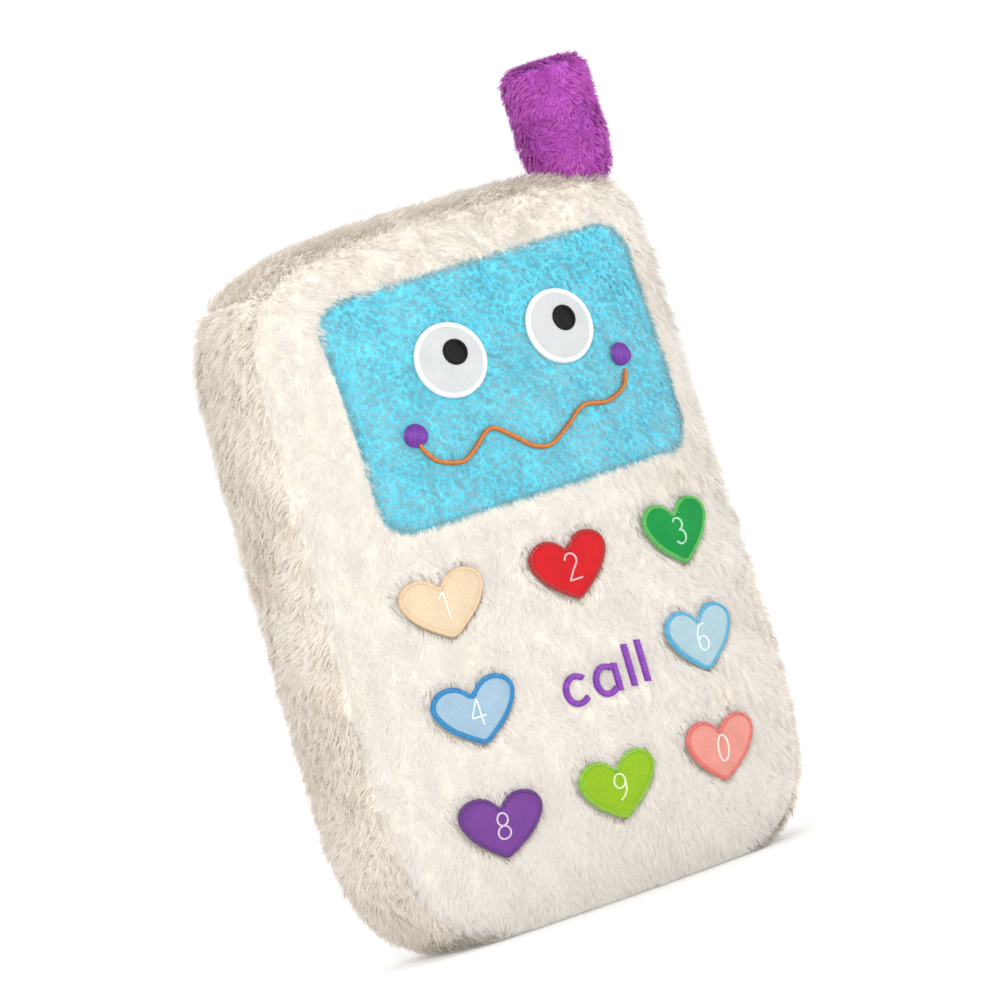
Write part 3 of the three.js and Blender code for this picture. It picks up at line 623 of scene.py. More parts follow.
def body_fur(count_front, count_side, count_back):
    # ---- front: short fine pile that runs down the phone
    P, N = front_points(count_front, 11)
    x, z = P[:, 0], P[:, 2]
    out = np.zeros(len(x), bool)
    for k in HEART_XZ:
        out |= inside(HEART_XZ[k], x, z)
    out |= inside(SCREEN_LAP, x, z)
    out |= near_label(x, z, 1.9)
    P, N, x, z = P[~out], N[~out], x[~out], z[~out]
    r = np.random.default_rng(12)
    n = len(P)
    a = 0.45 * wave(P, 21, 55) + 0.45 * wave(P, 22, 17) + 0.2 * wave(P, 24, 7)
    edge = 1 - rounded_edge(x, z)
    out_dir = unit(np.stack([x, np.zeros(n), z - ZC], 1))
    D = np.stack([np.sin(a), np.zeros(n), -np.cos(a)], 1)
    du, dv, tag = clump(x, z, 4.6, 3)
    L = 7.4 * (0.85 + 0.3 * r.random(n)) * (0.92 + 0.16 * tag)
    # strands that would lie over a key, the screen or the label are cut shorter
    for _ in range(3):
        tx, tz = x + D[:, 0] * L * 0.75, z + D[:, 2] * L * 0.75
        hit = inside(SCREEN_LAP_IN, tx, tz)
        for k in HEART_XZ:
            hit |= inside(HEART_XZ_IN[k], tx, tz)
        hit |= near_label(tx, tz, 2.0)
        L = np.where(hit, L * 0.66, L)
    near = near_label(x, z, 4.5)
    L = np.where(near, L * 0.8, L)
    W = 0.55 * (0.75 + 0.5 * r.random(n))
    pull = np.stack([du, np.zeros(n), dv], 1) * 0.34 * (L / 7.4)[:, None]
    shade = 0.45 + 0.25 * wave(P, 23, 38) + 0.35 * (tag - 0.5) + 0.35 * (r.random(n) - 0.5)
    put(fur("front_fur", P, N, D, L, W, CREAM_FUR, 13, up0=46, up1=20, pull=pull, shade=shade, segs=1, soft=0.85, over=out_dir * (0.8 * edge)[:, None]), ROOT, "cream_plush")

    # ---- boxing strip: longer, clumpier pile
    r = np.random.default_rng(31)
    t = r.random(count_side)
    y = r.uniform(-GUSSET_W / 2 + 0.3, GUSSET_W / 2 - 0.3, count_side)
    P, N = strip_at(t, y, 0.0)
    keep = (P[:, 2] > 1.2) | (r.random(count_side) < 0.3)
    P, N, t, y = P[keep], N[keep], t[keep], y[keep]
    under = P[:, 2] < 1.2
    P[:, 2] = np.maximum(P[:, 2], 0.6)
    n = len(P)
    tang = np.cross(N, [0, 1, 0])  # along the strip
    down = unit(np.array([0, 0, -1.0]) - N * N[:, 2:3])
    top = np.abs(N[:, 2]) > 0.75
    a = 0.65 * wave(P, 41, 60) + 0.6 * wave(P, 42, 24) + 0.3 * wave(P, 44, 9)
    lean = np.where(top[:, None], np.array([[0.25, -1.0, 0.0]]), down + np.array([[0, 0.35, 0]]))
    lean = unit(lean - N * np.sum(lean * N, 1, keepdims=True))
    D = unit(lean * np.cos(a)[:, None] + np.cross(N, lean) * np.sin(a)[:, None])
    su = t * OUT_L
    du, dv, tag = clump(su, y, 7.5, 4)
    pull = (tang * -du[:, None] + np.array([[0, 1, 0]]) * dv[:, None]) * 0.30
    L = 7.8 * (0.8 + 0.4 * r.random(n)) * (0.85 + 0.3 * tag)
    L = np.where(under, 3.0, L)
    W = 0.55 * (0.75 + 0.5 * r.random(n))
    shade = 0.45 + 0.3 * wave(P, 43, 40) + 0.28 * wave(P, 45, 17) + 0.4 * (tag - 0.5) + 0.25 * (r.random(n) - 0.5)
    put(fur("side_fur", P, N, D, L, W, CREAM_SIDE_SHADED, 32, up0=54, up1=24, pull=pull, shade=shade, soft=0.82, over=np.array([[0, 1.0, 0]]) * (1.3 * np.sign(y) * (np.abs(y) / (GUSSET_W / 2)) ** 2)[:, None]), ROOT, "cream_plush")

    # ---- back
    P, N = front_points(count_back, 51, cloth_back, 1)
    x, z = P[:, 0], P[:, 2]
    for where, body, name, seed in ((~inside(rounded_rect(*OPENING), x, z), ROOT, "back_fur", 52),):
        p, nn = P[where], N[where]
        n = len(p)
        r = np.random.default_rng(seed)
        a = 0.35 * wave(p, 61, 55) + 0.25 * wave(p, 62, 17)
        D = np.stack([np.sin(a), np.zeros(n), -np.cos(a)], 1)
        du, dv, tag = clump(p[:, 0], p[:, 2], 5.4, 6)
        L = 9.4 * (0.85 + 0.3 * r.random(n))
        tipx, tipz = p[:, 0] + D[:, 0] * L * 0.75, p[:, 2] + D[:, 2] * L * 0.75
        L = np.where(inside(rounded_rect(*OPENING), tipx, tipz), L * 0.55, L)
        W = 0.8 * (0.75 + 0.5 * r.random(n))
        pull = np.stack([du, np.zeros(n), dv], 1) * 0.38
        shade = 0.45 + 0.25 * wave(p, 63, 38) + 0.4 * (tag - 0.5) + 0.3 * (r.random(n) - 0.5)
        put(fur(name, p, nn, D, L, W, CREAM_FUR, seed + 1, up0=46, up1=20, pull=pull, shade=shade, segs=1, soft=0.85), body, "cream_plush")


# ------------------------------------------------------------------ pieces on the front surface
def on_front(x, z, k):
    p, n = surface_frame(front_y, np.asarray(x, float), np.asarray(z, float), -1)
    return p + n * np.asarray(k, float)[..., None] if np.ndim(k) else p + n * k


def patch(name, poly, rise, mat, place, rings=14, edge=2.4, foot=-2.2, centre=None, n=None):
    """A soft patch over a star-shaped outline: rise(x, z, q) is its height, and its rim rolls down to foot."""
    poly = np.asarray(poly, float)
    if n:
        poly = even(poly, n)
    c = poly.mean(0) if centre is None else np.asarray(centre, float)
    qs = np.concatenate([np.linspace(0.06, 0.93, rings), [0.965, 0.985, 0.995, 1.0]])
    rows = []
    for q in qs:
        p = c + q * (poly - c)
        h = rise(p[:, 0], p[:, 1], q)
        if q > 0.93:
            f = (q - 0.93) / 0.07
            h = h - edge * 0.5 * (1 - np.sqrt(np.maximum(0, 1 - f * f)))
        rows.append(place(p, h))
    rows.append(place(poly, np.full(len(poly), foot)))
    V = np.concatenate(rows + [place(c[None], rise(c[None, 0], c[None, 1], 0.0))])
    m = len(poly)
    quads = grid_quads(len(rows), m)
    j = np.arange(m)
    tris = np.stack([np.full(m, len(V) - 1), j, (j + 1) % m], 1)
    return mesh_from(name, V, quads, tris, mat=mat)


def place_front(p, h):
    return on_front(p[:, 0], p[:, 1], np.broadcast_to(h, (len(p),)))


def stitches(name, a, b, mat, place, height=0.7, base=0.0, width=0.5, seed=1, tone=None, across=3, ground=None, dark=0.35):
    """Threads from points a to points b (n, 2), each a little raised rounded ribbon."""
    r = np.random.default_rng(seed)
    a, b = np.asarray(a, float), np.asarray(b, float)
    n = len(a)
    d = unit(b - a)
    s = np.stack([-d[:, 1], d[:, 0]], 1)
    ln = np.linalg.norm(b - a, axis=1)
    e = np.minimum(0.22, 0.55 / np.maximum(ln, 1e-6))
    ts = [np.zeros(n), e] + [e + (1 - 2 * e) * k for k in np.linspace(0, 1, across)[1:-1]] + [1 - e, np.ones(n)]
    V, UV = [], []
    u = r.random(n) if tone is None else tone
    w = width * (0.9 + 0.2 * r.random(n))[:, None]
    lift = height * (0.9 + 0.2 * r.random(n))
    for t in ts:
        c = a + (b - a) * t[:, None]
        low = np.abs(2 * t - 1)
        near = (low > 0.99) * 1.0
        # painted shade: the tone, and so the colour, darkens towards both ends of each stitch, where the thread dives
        # into the cloth
        tint = 1 - dark * (low > 0.5) * np.clip(low, 0, 1)
        h = base + lift * (1 - 0.25 * low**2) * (1 - near) - 0.9 * near
        if ground is not None:
            h = h + ground(c)
        V.append(place(c - s * w * 0.5, h - 0.28))
        V.append(place(c, h))
        V.append(place(c + s * w * 0.5, h - 0.28))
        # each stitch's middle row gets its u raised by 0.3 over its two sides: a painted highlight along the crest and
        # painted shade down the sides, on top of the stitch's own random tone
        UV.append(np.stack([np.clip(u * 0.6 + 0.1, 0.01, 1) * tint, t], 1))
        UV.append(np.stack([np.clip(u * 0.6 + 0.4, 0.01, 1) * tint, t], 1))
        UV.append(np.stack([np.clip(u * 0.6 + 0.1, 0.01, 1) * tint, t], 1))
    V = np.stack(V, 1).reshape(-1, 3)
    UV = np.stack(UV, 1).reshape(-1, 2)
    k = 3 * len(ts)
    q = []
    for i in range(len(ts) - 1):
        for c in (0, 1):
            q.append([i * 3 + c, i * 3 + c + 1, (i + 1) * 3 + c + 1, (i + 1) * 3 + c])
    quads = (np.arange(n)[:, None, None] * k + np.array(q)[None]).reshape(-1, 4)
    return mesh_from(name, V, quads, None, UV, None, mat)


def satin_line(path, width, pitch=0.42, slant=0.35, closed=False):
    """Ends of satin stitches across a path."""
    L = np.sum(np.linalg.norm(np.diff(np.concatenate([path, path[:1]]) if closed else path, axis=0), axis=1))
    p = even(path, max(4, int(L / pitch)), closed=closed)
    if closed:
        d = unit(np.roll(p, -1, 0) - np.roll(p, 1, 0))
    else:
        d = unit(np.gradient(p, axis=0))
    s = np.stack([-d[:, 1], d[:, 0]], 1)
    return p - s * width / 2 - d * slant * width / 2, p + s * width / 2 + d * slant * width / 2


def satin_fill(cx, cz, r, pitch=0.45, angle=0.35):
    k = np.arange(-r + pitch / 2, r, pitch)
    h = np.sqrt(np.maximum(0, r * r - k * k))
    c, s = math.cos(angle), math.sin(angle)
    a = np.stack([cx + c * -h - s * k, cz + s * -h + c * k], 1)
    b = np.stack([cx + c * h - s * k, cz + s * h + c * k], 1)
    return a, b


def circle(cx, cz, r, n=96):
    t = np.linspace(0, 2 * np.pi, n, endpoint=False)
    return np.stack([cx + r * np.cos(t), cz + r * np.sin(t)], 1)


def screen(count):
    cx, cz = (SCREEN[0] + SCREEN[1]) / 2, (SCREEN[2] + SCREEN[3]) / 2
    o = patch("screen_cloth", SCREEN_XZ, lambda x, z, q: np.full(len(x), -0.4), SCREEN_CLOTH, place_front, rings=26, edge=4, foot=-3, n=200, centre=(cx, cz))
    put(o, ROOT, "screen_plush", "screen_panel")
    r = np.random.default_rng(71)
    x = r.uniform(SCREEN[0], SCREEN[1], count)
    z = r.uniform(SCREEN[2], SCREEN[3], count)
    ok = inside(SCREEN_XZ, x, z)
    for e in EYES.values():
        ok &= (x - e[0]) ** 2 + (z - e[1]) ** 2 > (EYE_R - 0.4) ** 2
    for c in CHEEKS.values():
        ok &= (x - c[0]) ** 2 + (z - c[1]) ** 2 > (CHEEK_R - 0.3) ** 2
    m = smooth_path(MOUTH, 8)
    for q in m[::2]:
        ok &= (x - q[0]) ** 2 + (z - q[1]) ** 2 > 1.0
    x, z = x[ok], z[ok]
    P, N = surface_frame(front_y, x, z, -1)
    P = P - N * 0.6
    n = len(P)
    edge_top = np.clip((z - (SCREEN[3] - 7)) / 7, 0, 1)
    edge_left = np.clip((SCREEN[0] + 7 - x) / 7, 0, 1)
    a = 0.6 * wave(P, 81, 42) + 0.45 * wave(P, 82, 13)
    D = np.stack([np.sin(a) - 0.5 * edge_left, np.zeros(n), -np.cos(a) + 1.1 * edge_top], 1)
    du, dv, tag = clump(x, z, 3.4, 8)
    L = 3.5 * (0.8 + 0.4 * r.random(n))
    W = 0.66 * (0.75 + 0.5 * r.random(n))
    pull = np.stack([du, np.zeros(n), dv], 1) * 0.36
    # the edge_top and edge_left terms push the tone dark along the screen's top and left edges: painted shade next to
    # the raised cream pile
    shade = 0.38 + 0.38 * wave(P, 83, 26) + 0.22 * wave(P, 84, 9) + 0.3 * (tag - 0.5) + 0.2 * (r.random(n) - 0.5) + 0.5 * edge_top + 0.35 * edge_left
    put(fur("screen_pile", P, N, D, L, W, SCREEN_FUR, 72, up0=52, up1=26, pull=pull, shade=shade, segs=1, soft=0.8), ROOT, "screen_plush")


def face():
    white = thread_mat("white_thread", (0.80, 0.81, 0.82), (0.95, 0.95, 0.95), rough=0.5)
    black = thread_mat("black_thread", (0.004, 0.004, 0.005), (0.05, 0.05, 0.055), rough=0.5, sheen=0.0, spec=0.25)
    purple = thread_mat("cheek_thread", (0.30, 0.07, 0.48), (0.48, 0.19, 0.66))
    orange = thread_mat("mouth_thread", (0.62, 0.34, 0.10), (0.86, 0.54, 0.21))
    for side, (x, z) in EYES.items():
        o = patch(f"eye_{side}_felt", circle(x, z, EYE_R), lambda a, b, q: 2.0 + 0.4 * (1 - q * q) * np.ones(len(a)), FELT, place_front, rings=10, edge=2.0, foot=-0.3, centre=(x, z))
        put(o, ROOT, "white_felt", f"eye_{side}")
        t = np.linspace(0, 2 * np.pi, 250, endpoint=False)
        a = np.stack([x + (EYE_R - 2.6) * np.cos(t), z + (EYE_R - 2.6) * np.sin(t)], 1)
        b = np.stack([x + (EYE_R + 0.3) * np.cos(t + 0.03), z + (EYE_R + 0.3) * np.sin(t + 0.03)], 1)
        put(stitches(f"eye_{side}_edge", a, b, white, place_front, height=0.8, base=1.9, width=0.55, seed=3), ROOT, "white_felt")
        px, pz = x + 3, z + 3
        a, b = satin_fill(px, pz, PUPIL_R - 0.7)
        put(stitches(f"pupil_{side}_fill", a, b, black, place_front, height=0.5, base=2.3, width=0.6, seed=4), ROOT, "black_thread", f"pupil_{side}")
        a, b = satin_line(circle(px, pz, PUPIL_R - 0.8), 1.8, 0.4, 0.1, closed=True)
        put(stitches(f"pupil_{side}_edge", a, b, black, place_front, height=0.75, base=2.3, width=0.5, seed=5), ROOT, "black_thread")
    for side, (x, z) in CHEEKS.items():
        a, b = satin_fill(x, z, CHEEK_R, angle=1.2)
        put(stitches(f"cheek_{side}_fill", a, b, purple, place_front, height=0.9, base=1.7, width=0.6, seed=6), ROOT, "purple_thread", f"cheek_{side}")
    m = smooth_path([(-53.0, 242.4)] + MOUTH, 10)
    a, b = satin_line(m, 2.4, 0.36, 0.6)
    # dark=0.9 paints strong shade at the ends of the mouth's stitches
    put(stitches("mouth_stitching", a, b, orange, place_front, height=0.8, base=1.8, width=0.5, seed=7, dark=0.9), ROOT, "orange_thread", "mouth")


# each heart: felt fill, border thread colour, and the dark end of the border thread's ramp, which gives the stitches
# their own tone spread and also colours the painted shade at their sides and ends
HEART_COLOURS = {
    "1": ((0.94, 0.85, 0.72), (0.93, 0.83, 0.69), (0.80, 0.66, 0.50)),
    "2": ((0.86, 0.10, 0.13), (0.78, 0.10, 0.12), (0.52, 0.03, 0.06)),
    "3": ((0.02, 0.60, 0.26), (0.42, 0.78, 0.36), (0.08, 0.52, 0.20)),
    "4": ((0.66, 0.78, 0.87), (0.16, 0.58, 0.80), (0.06, 0.40, 0.62)),
    "6": ((0.70, 0.82, 0.86), (0.38, 0.72, 0.84), (0.20, 0.54, 0.70)),
    "8": ((0.49, 0.27, 0.61), (0.42, 0.20, 0.55), (0.25, 0.08, 0.36)),
    "9": ((0.60, 0.78, 0.12), (0.60, 0.80, 0.20), (0.40, 0.60, 0.08)),
    "0": ((0.95, 0.62, 0.57), (0.90, 0.50, 0.46), (0.74, 0.32, 0.29)),
}


def digit_paths(d):
    def arc(cx, cz, rx, rz, a0, a1, n=20):
        a = np.radians(np.linspace(a0, a1, n))
        return np.stack([cx + rx * np.cos(a), cz + rz * np.sin(a)], 1)

    line = lambda *p: even(np.array(p, float), 24, closed=False)
    if d == "1":
        return [line((-0.4, 0.6), (0.08, 1.0), (0.08, -1.0))]
    if d == "2":
        return [np.concatenate([arc(0, 0.48, 0.48, 0.52, 165, -25), line((0.42, 0.22), (-0.5, -1.0), (0.55, -1.0))])]
    if d == "3":
        return [np.concatenate([arc(-0.02, 0.52, 0.46, 0.48, 150, -80), arc(-0.02, -0.46, 0.52, 0.54, 85, -150)])]
    if d == "4":
        return [line((0.22, -1.0), (0.22, 1.0), (-0.55, -0.38), (0.55, -0.38))]
    if d == "6":
        return [np.concatenate([arc(0.35, 0.0, 0.82, 1.0, 88, 165), arc(0, -0.45, 0.47, 0.55, 172, 532, 30)])]
    if d == "8":
        return [arc(0, 0.5, 0.4, 0.48, -90, 270, 28), arc(0, -0.5, 0.48, 0.5, 90, 450, 28)]
    if d == "9":
        return [np.concatenate([arc(0, 0.45, 0.47, 0.55, 0, 360, 30), arc(-0.38, 0.1, 0.85, 1.1, 10, -78)])]
    return [arc(0, 0, 0.5, 1.0, 0, 360, 40)]


def hearts():
    for key, x, z, turn in KEYS:
        fill, edge, dark = HEART_COLOURS[key]
        body = f"key_{key}"
        place = lambda p, h, key=key: to_world(key, p, h)
        felt = cloth_mat(f"heart_{key}_cloth", tuple(c * 0.80 for c in fill), tuple(c * 0.91 for c in fill), 1300, rough=0.85, bump=0.5, patch=90, sheen=0.12)
        tint = lambda v, fill=fill: tuple(v * 0.68 + c * 0.32 for c in fill)
        thread = thread_mat(f"digit_{key}_thread", tint(0.86), tint(0.98), rough=0.45)
        satin = thread_mat(f"heart_{key}_thread", dark, tuple(c * 0.95 for c in edge))

        def rise(px, pz, q):
            q = np.broadcast_to(q, np.shape(px))
            h = 0.9 + 0.8 * (1 - q**2.2)
            return h - 0.45 * np.exp(-((px / 1.5) ** 2)) * (1 - q**3)

        ring = heart_outline(1.2, 240)
        ring_a = np.arctan2(ring[:, 1] - 1.0, ring[:, 0])
        order = np.argsort(ring_a)
        ring_a, ring_r = ring_a[order], np.hypot(ring[:, 0], ring[:, 1] - 1.0)[order]

        def pad_height(p):
            ang = np.arctan2(p[:, 1] - 1.0, p[:, 0])
            q = np.minimum(1, np.hypot(p[:, 0], p[:, 1] - 1.0) / np.interp(ang, ring_a, ring_r, period=2 * np.pi))
            return rise(p[:, 0], p[:, 1], q)

        o = patch(f"heart_{key}_pad", heart_outline(1.2), rise, felt, place, rings=16, edge=1.0, foot=-1.0, centre=(0, 1.0))
        put(o, body, f"heart_{key}_cloth", f"heart_{key}")
        w = 2.9 if key == "4" else 2.2
        mid = heart_outline(w / 2 + 0.1, ease=9)
        a, b = satin_line(mid, w, 0.4, 0.12, closed=True)
        put(stitches(f"heart_{key}_edge", a, b, satin, place, height=0.85, base=0.75, width=0.55, seed=20 + int(key)), body, f"heart_{key}_thread", f"heart_{key}_border")
        aa, bb = [], []
        for path in digit_paths(key):
            p = even(np.asarray(path) * np.array([6.6, 6.5]) + np.array([0.0, 0.6]), 60, closed=False)
            a, b = satin_line(p, 1.2, 0.42, 0.42)
            aa.append(a)
            bb.append(b)
        put(stitches(f"heart_{key}_digit", np.concatenate(aa), np.concatenate(bb), thread, place, height=0.5, base=0.15, width=0.62, seed=40 + int(key), ground=pad_height), body, "white_felt")


def label():
    mat = thread_mat("label_thread", (0.36, 0.10, 0.52), (0.56, 0.26, 0.72), rough=0.38)
    aa, bb = [], []
    for p in LABEL_PATHS:
        a, b = satin_line(p + np.array(LABEL), 3.3, 0.42, 0.25)
        aa.append(a)
        bb.append(b)
    put(stitches("call_label", np.concatenate(aa), np.concatenate(bb), mat, place_front, height=1.2, base=2.2, width=0.6, seed=60, across=4), ROOT, "purple_thread")


# ------------------------------------------------------------------ antenna
def antenna(count):
    A = ANTENNA
    prof = [(2.0, -A["r"] + 0.4)]
    for i in range(1, 7):
        a = math.pi / 2 * i / 6
        prof.append(((A["r"] - 0.4) * math.sin(a), -(A["r"] - 0.4) * math.cos(a)))
    top = A["top"] - A["z"]
    prof += [(A["r"] + 1.2, top * 0.22), (A["r"] + 0.8, top * 0.45), (A["r"] + 0.7, top * 0.6), (A["r"] + 0.7, top - 4), (A["r"] - 0.8, top + 0.4), (A["r"] - 4, top + 2.4), (A["r"] - 10, top + 3.2), (2.0, top + 3.4)]
    prof = smooth_path(prof, 6)
    n = 64
    t = np.linspace(0, 2 * np.pi, n, endpoint=False)
    flat = 1.0
    rows = [np.stack([A["x"] + r * np.cos(t), A["y"] + r * np.sin(t) * flat, np.full(n, A["z"] + h)], 1) for r, h in prof]
    V = np.concatenate(rows + [[[A["x"], A["y"], A["z"] + prof[0][1]], [A["x"], A["y"], A["z"] + prof[-1][1]]]])
    quads = grid_quads(len(rows), n)[:, ::-1]
    j = np.arange(n)
    last = (len(rows) - 1) * n
    tris = np.concatenate([np.stack([np.full(n, len(V) - 2), (j + 1) % n, j], 1), np.stack([np.full(n, len(V) - 1), last + j, last + (j + 1) % n], 1)])
    o = put(mesh_from("antenna_cloth", V, quads, tris, mat=ANT_CLOTH), "antenna", "antenna_plush", "antenna_cover", "antenna_stuffing")
    # fur over the sleeve above the body
    r = np.random.default_rng(91)
    s = np.concatenate([[0], np.cumsum(np.linalg.norm(np.diff(prof, axis=0), axis=1))])
    u = r.random(count * 3) * s[-1]
    rad = np.interp(u, s, prof[:, 0])
    hgt = np.interp(u, s, prof[:, 1])
    ok = (r.random(len(u)) < rad / A["r"]) & (hgt > -13)
    u, rad, hgt = u[ok][:count], rad[ok][:count], hgt[ok][:count]
    th = r.random(len(u)) * 2 * np.pi
    e = 0.6
    dr = np.interp(u + e, s, prof[:, 0]) - np.interp(u - e, s, prof[:, 0])
    dh = np.interp(u + e, s, prof[:, 1]) - np.interp(u - e, s, prof[:, 1])
    nr, nh = dh, -dr
    l = np.hypot(nr, nh)
    nr, nh = nr / l, nh / l
    N = np.stack([np.cos(th) * nr, np.sin(th) * nr, nh], 1)
    P = np.stack([A["x"] + rad * np.cos(th), A["y"] + rad * np.sin(th), A["z"] + hgt], 1)
    a = 0.9 * wave(P, 93, 30) + 0.7 * wave(P, 94, 11)
    lean = np.array([[0.2, -0.25, -1.0]]) + np.where(nh[:, None] > 0.7, np.array([[-0.8, -0.5, 0]]), 0)
    lean = unit(lean - N * np.sum(lean * N, 1, keepdims=True))
    D = unit(lean * np.cos(a)[:, None] + np.cross(N, lean) * np.sin(a)[:, None])
    n = len(P)
    du, dv, tag = clump(th * A["r"], hgt, 4.2, 12)
    tang = np.stack([-np.sin(th), np.cos(th), np.zeros(n)], 1)
    pull = (tang * du[:, None] + np.array([[0, 0, 1]]) * dv[:, None]) * 0.4
    pull = pull * np.clip(rad / 12, 0, 1)[:, None]
    L = 5.4 * (0.8 + 0.4 * r.random(n))
    W = 0.75 * (0.75 + 0.5 * r.random(n))
    shade = 0.45 + 0.35 * wave(P, 95, 16) + 0.5 * (tag - 0.5) + 0.3 * (r.random(n) - 0.5)
    put(fur("antenna_fur", P, N, D, L, W, ANT_FUR, 92, up0=58, up1=28, pull=pull, shade=shade, soft=0.7), "antenna", "antenna_plush")


# ------------------------------------------------------------------ back: flap, lining, tapes
def place_back(p, h):
    q, n = surface_frame(back_y, p[:, 0], p[:, 1], 1)
    return q + n * np.broadcast_to(h, (len(p),))[:, None]


def back_pieces(count):
    x0, x1, z0, z1, rr = OPENING
    edge = rounded_rect(x0 + 1.0, x1 - 1.0, z0 + 1.0, z1 - 1.0, rr - 0.6)
    # flap: outer face, rolled rim and inner face in one closed piece
    poly = even(edge, 160)
    c = np.array([(x0 + x1) / 2, (z0 + z1) / 2])
    rows = []
    for q in np.concatenate([np.linspace(0.06, 0.93, 12), [0.965, 0.99, 1.0]]):
        p = c + q * (poly - c)
        f = max(0, (q - 0.93) / 0.07)
        rows.append(place_back(p, -1.6 - 1.0 * (1 - math.sqrt(max(0, 1 - f * f)))))
    for q in (1.0, 0.99, 0.965, 0.9, 0.6, 0.3, 0.06):
        rows.append(place_back(c + q * (poly - c), -3.4 - 0.3 * (q < 0.98)))
    V = np.concatenate(rows + [place_back(c[None], -1.6), place_back(c[None], -3.7)])
    m = len(poly)
    quads = grid_quads(len(rows), m)[:, ::-1]
    j = np.arange(m)
    last = (len(rows) - 1) * m
    tris = np.concatenate([np.stack([np.full(m, len(V) - 2), (j + 1) % m, j], 1), np.stack([np.full(m, len(V) - 1), last + j, last + (j + 1) % m], 1)])
    put(mesh_from("flap_cloth", V, quads, tris, mat=CREAM_CLOTH), "flap", "cream_plush", "closure_flap")
    r = np.random.default_rng(101)
    x = r.uniform(x0, x1, count)
    z = r.uniform(z0, z1, count)
    ok = inside(edge, x, z)
    x, z = x[ok], z[ok]
    P, N = surface_frame(back_y, x, z, 1)
    P = P - N * 1.9
    n = len(P)
    a = 0.35 * wave(P, 61, 55) + 0.25 * wave(P, 62, 17)
    D = np.stack([np.sin(a), np.zeros(n), -np.cos(a)], 1)
    du, dv, tag = clump(x, z, 5.4, 6)
    L = 9.0 * (0.85 + 0.3 * r.random(n))
    W = 0.8 * (0.75 + 0.5 * r.random(n))
    shade = 0.45 + 0.25 * wave(P, 63, 38) + 0.4 * (tag - 0.5) + 0.3 * (r.random(n) - 0.5)
    pull = np.stack([du, np.zeros(n), dv], 1) * 0.38
    # keep the strands of the flap's rim from running into the panel
    pull *= np.clip(np.minimum.reduce([x - x0, x1 - x, z - z0, z1 - z]) / 6, 0, 1)[:, None]
    put(fur("flap_fur", P, N, D, L, W, CREAM_FUR, 102, up0=46, up1=20, pull=pull, shade=shade, segs=1, soft=0.85), "flap", "cream_plush")

    # binding tape round the opening
    tape = cloth_mat("binding_tape", (0.84, 0.80, 0.73), (0.93, 0.90, 0.85), 2600, bump=0.4, patch=200)
    path = even(rounded_rect(x0 - 0.2, x1 + 0.2, z0 - 0.2, z1 + 0.2, rr), 200)
    cen = path.mean(0)
    rows = []
    for inset, h in ((-3.0, -2.6), (-1.6, -1.4), (-0.2, -1.2), (0.5, -2.2), (0.6, -3.8), (0.0, -5.2)):
        d = unit(path - cen)
        rows.append(place_back(path - d * inset, h))
    put(mesh_from("opening_binding", np.concatenate(rows), grid_quads(len(rows), 200), mat=tape), ROOT, "cream_plush")

    # pocket lining: walls with soft folds and a floor
    path = even(rounded_rect(x0 + 1.3, x1 - 1.3, z0 + 1.3, z1 - 1.3, rr - 1), 220)
    rim = place_back(path, -5.4)
    rows = [rim]
    k = np.arange(220)
    for i, y in enumerate((48, 42, 36, 30, 25.4)):
        p = path + unit(path - cen) * (0.25 * np.sin(k * 0.55 + i * 1.3) + 0.15 * np.sin(k * 1.3 + i))[:, None]
        rows.append(np.stack([p[:, 0], np.minimum(rim[:, 1] - 0.5 - i, y) * np.ones(220), p[:, 1]], 1))
    for q in (0.96, 0.7, 0.4, 0.1):
        p = cen + q * (path - cen)
        rows.append(np.stack([p[:, 0], 24.6 + 0.25 * np.sin(p[:, 0] * 0.2) * np.cos(p[:, 1] * 0.17), p[:, 1]], 1))
    V = np.concatenate(rows + [[[cen[0], 24.6, cen[1]]]])
    j = np.arange(220)
    last = (len(rows) - 1) * 220
    tris = np.stack([np.full(220, len(V) - 1), last + j, last + (j + 1) % 220], 1)
    put(mesh_from("pocket_lining", V, grid_quads(len(rows), 220), tris, mat=LINING), ROOT, "stuffing", "stuffing")

    # hook tape on the flap and loop tape on a placket under it
    for name, body, off, zz, mat in (
        ("flap_hook_tape", "flap", -4.6, (69.5, 76.5), cloth_mat("hook_tape", (0.78, 0.77, 0.75), (0.96, 0.95, 0.93), 3200, bump=0.9, patch=500, rough=0.6)),
        ("loop_tape", ROOT, -5.7, (68.8, 76.2), cloth_mat("loop_tape", (0.82, 0.81, 0.79), (0.95, 0.94, 0.92), 1500, bump=0.9, patch=300)),
    ):
        xs = np.linspace(-30, 30, 31)
        zs = np.linspace(zz[0], zz[1], 6)
        X, Z = np.meshgrid(xs, zs)
        p = np.stack([X.ravel(), Z.ravel()], 1)
        ripple = 0.06 * np.sin(p[:, 0] * 1.7) * np.sin(p[:, 1] * 1.9)
        outer = place_back(p, off + ripple)
        inner = place_back(p, off - 0.8)
        V = np.concatenate([outer, inner])
        R, C = len(zs), len(xs)
        q1 = grid_quads(R, C, closed=False)[:, ::-1]
        q2 = grid_quads(R, C, closed=False, start=R * C)
        ring = np.concatenate([np.arange(C), np.arange(1, R) * C + C - 1, (R - 1) * C + np.arange(C - 2, -1, -1), np.arange(R - 2, 0, -1) * C])
        q3 = np.stack([ring, np.roll(ring, -1), np.roll(ring, -1) + R * C, ring + R * C], 1)
        put(mesh_from(name, V, np.concatenate([q1, q2, q3]), mat=mat), body, "cream_plush")


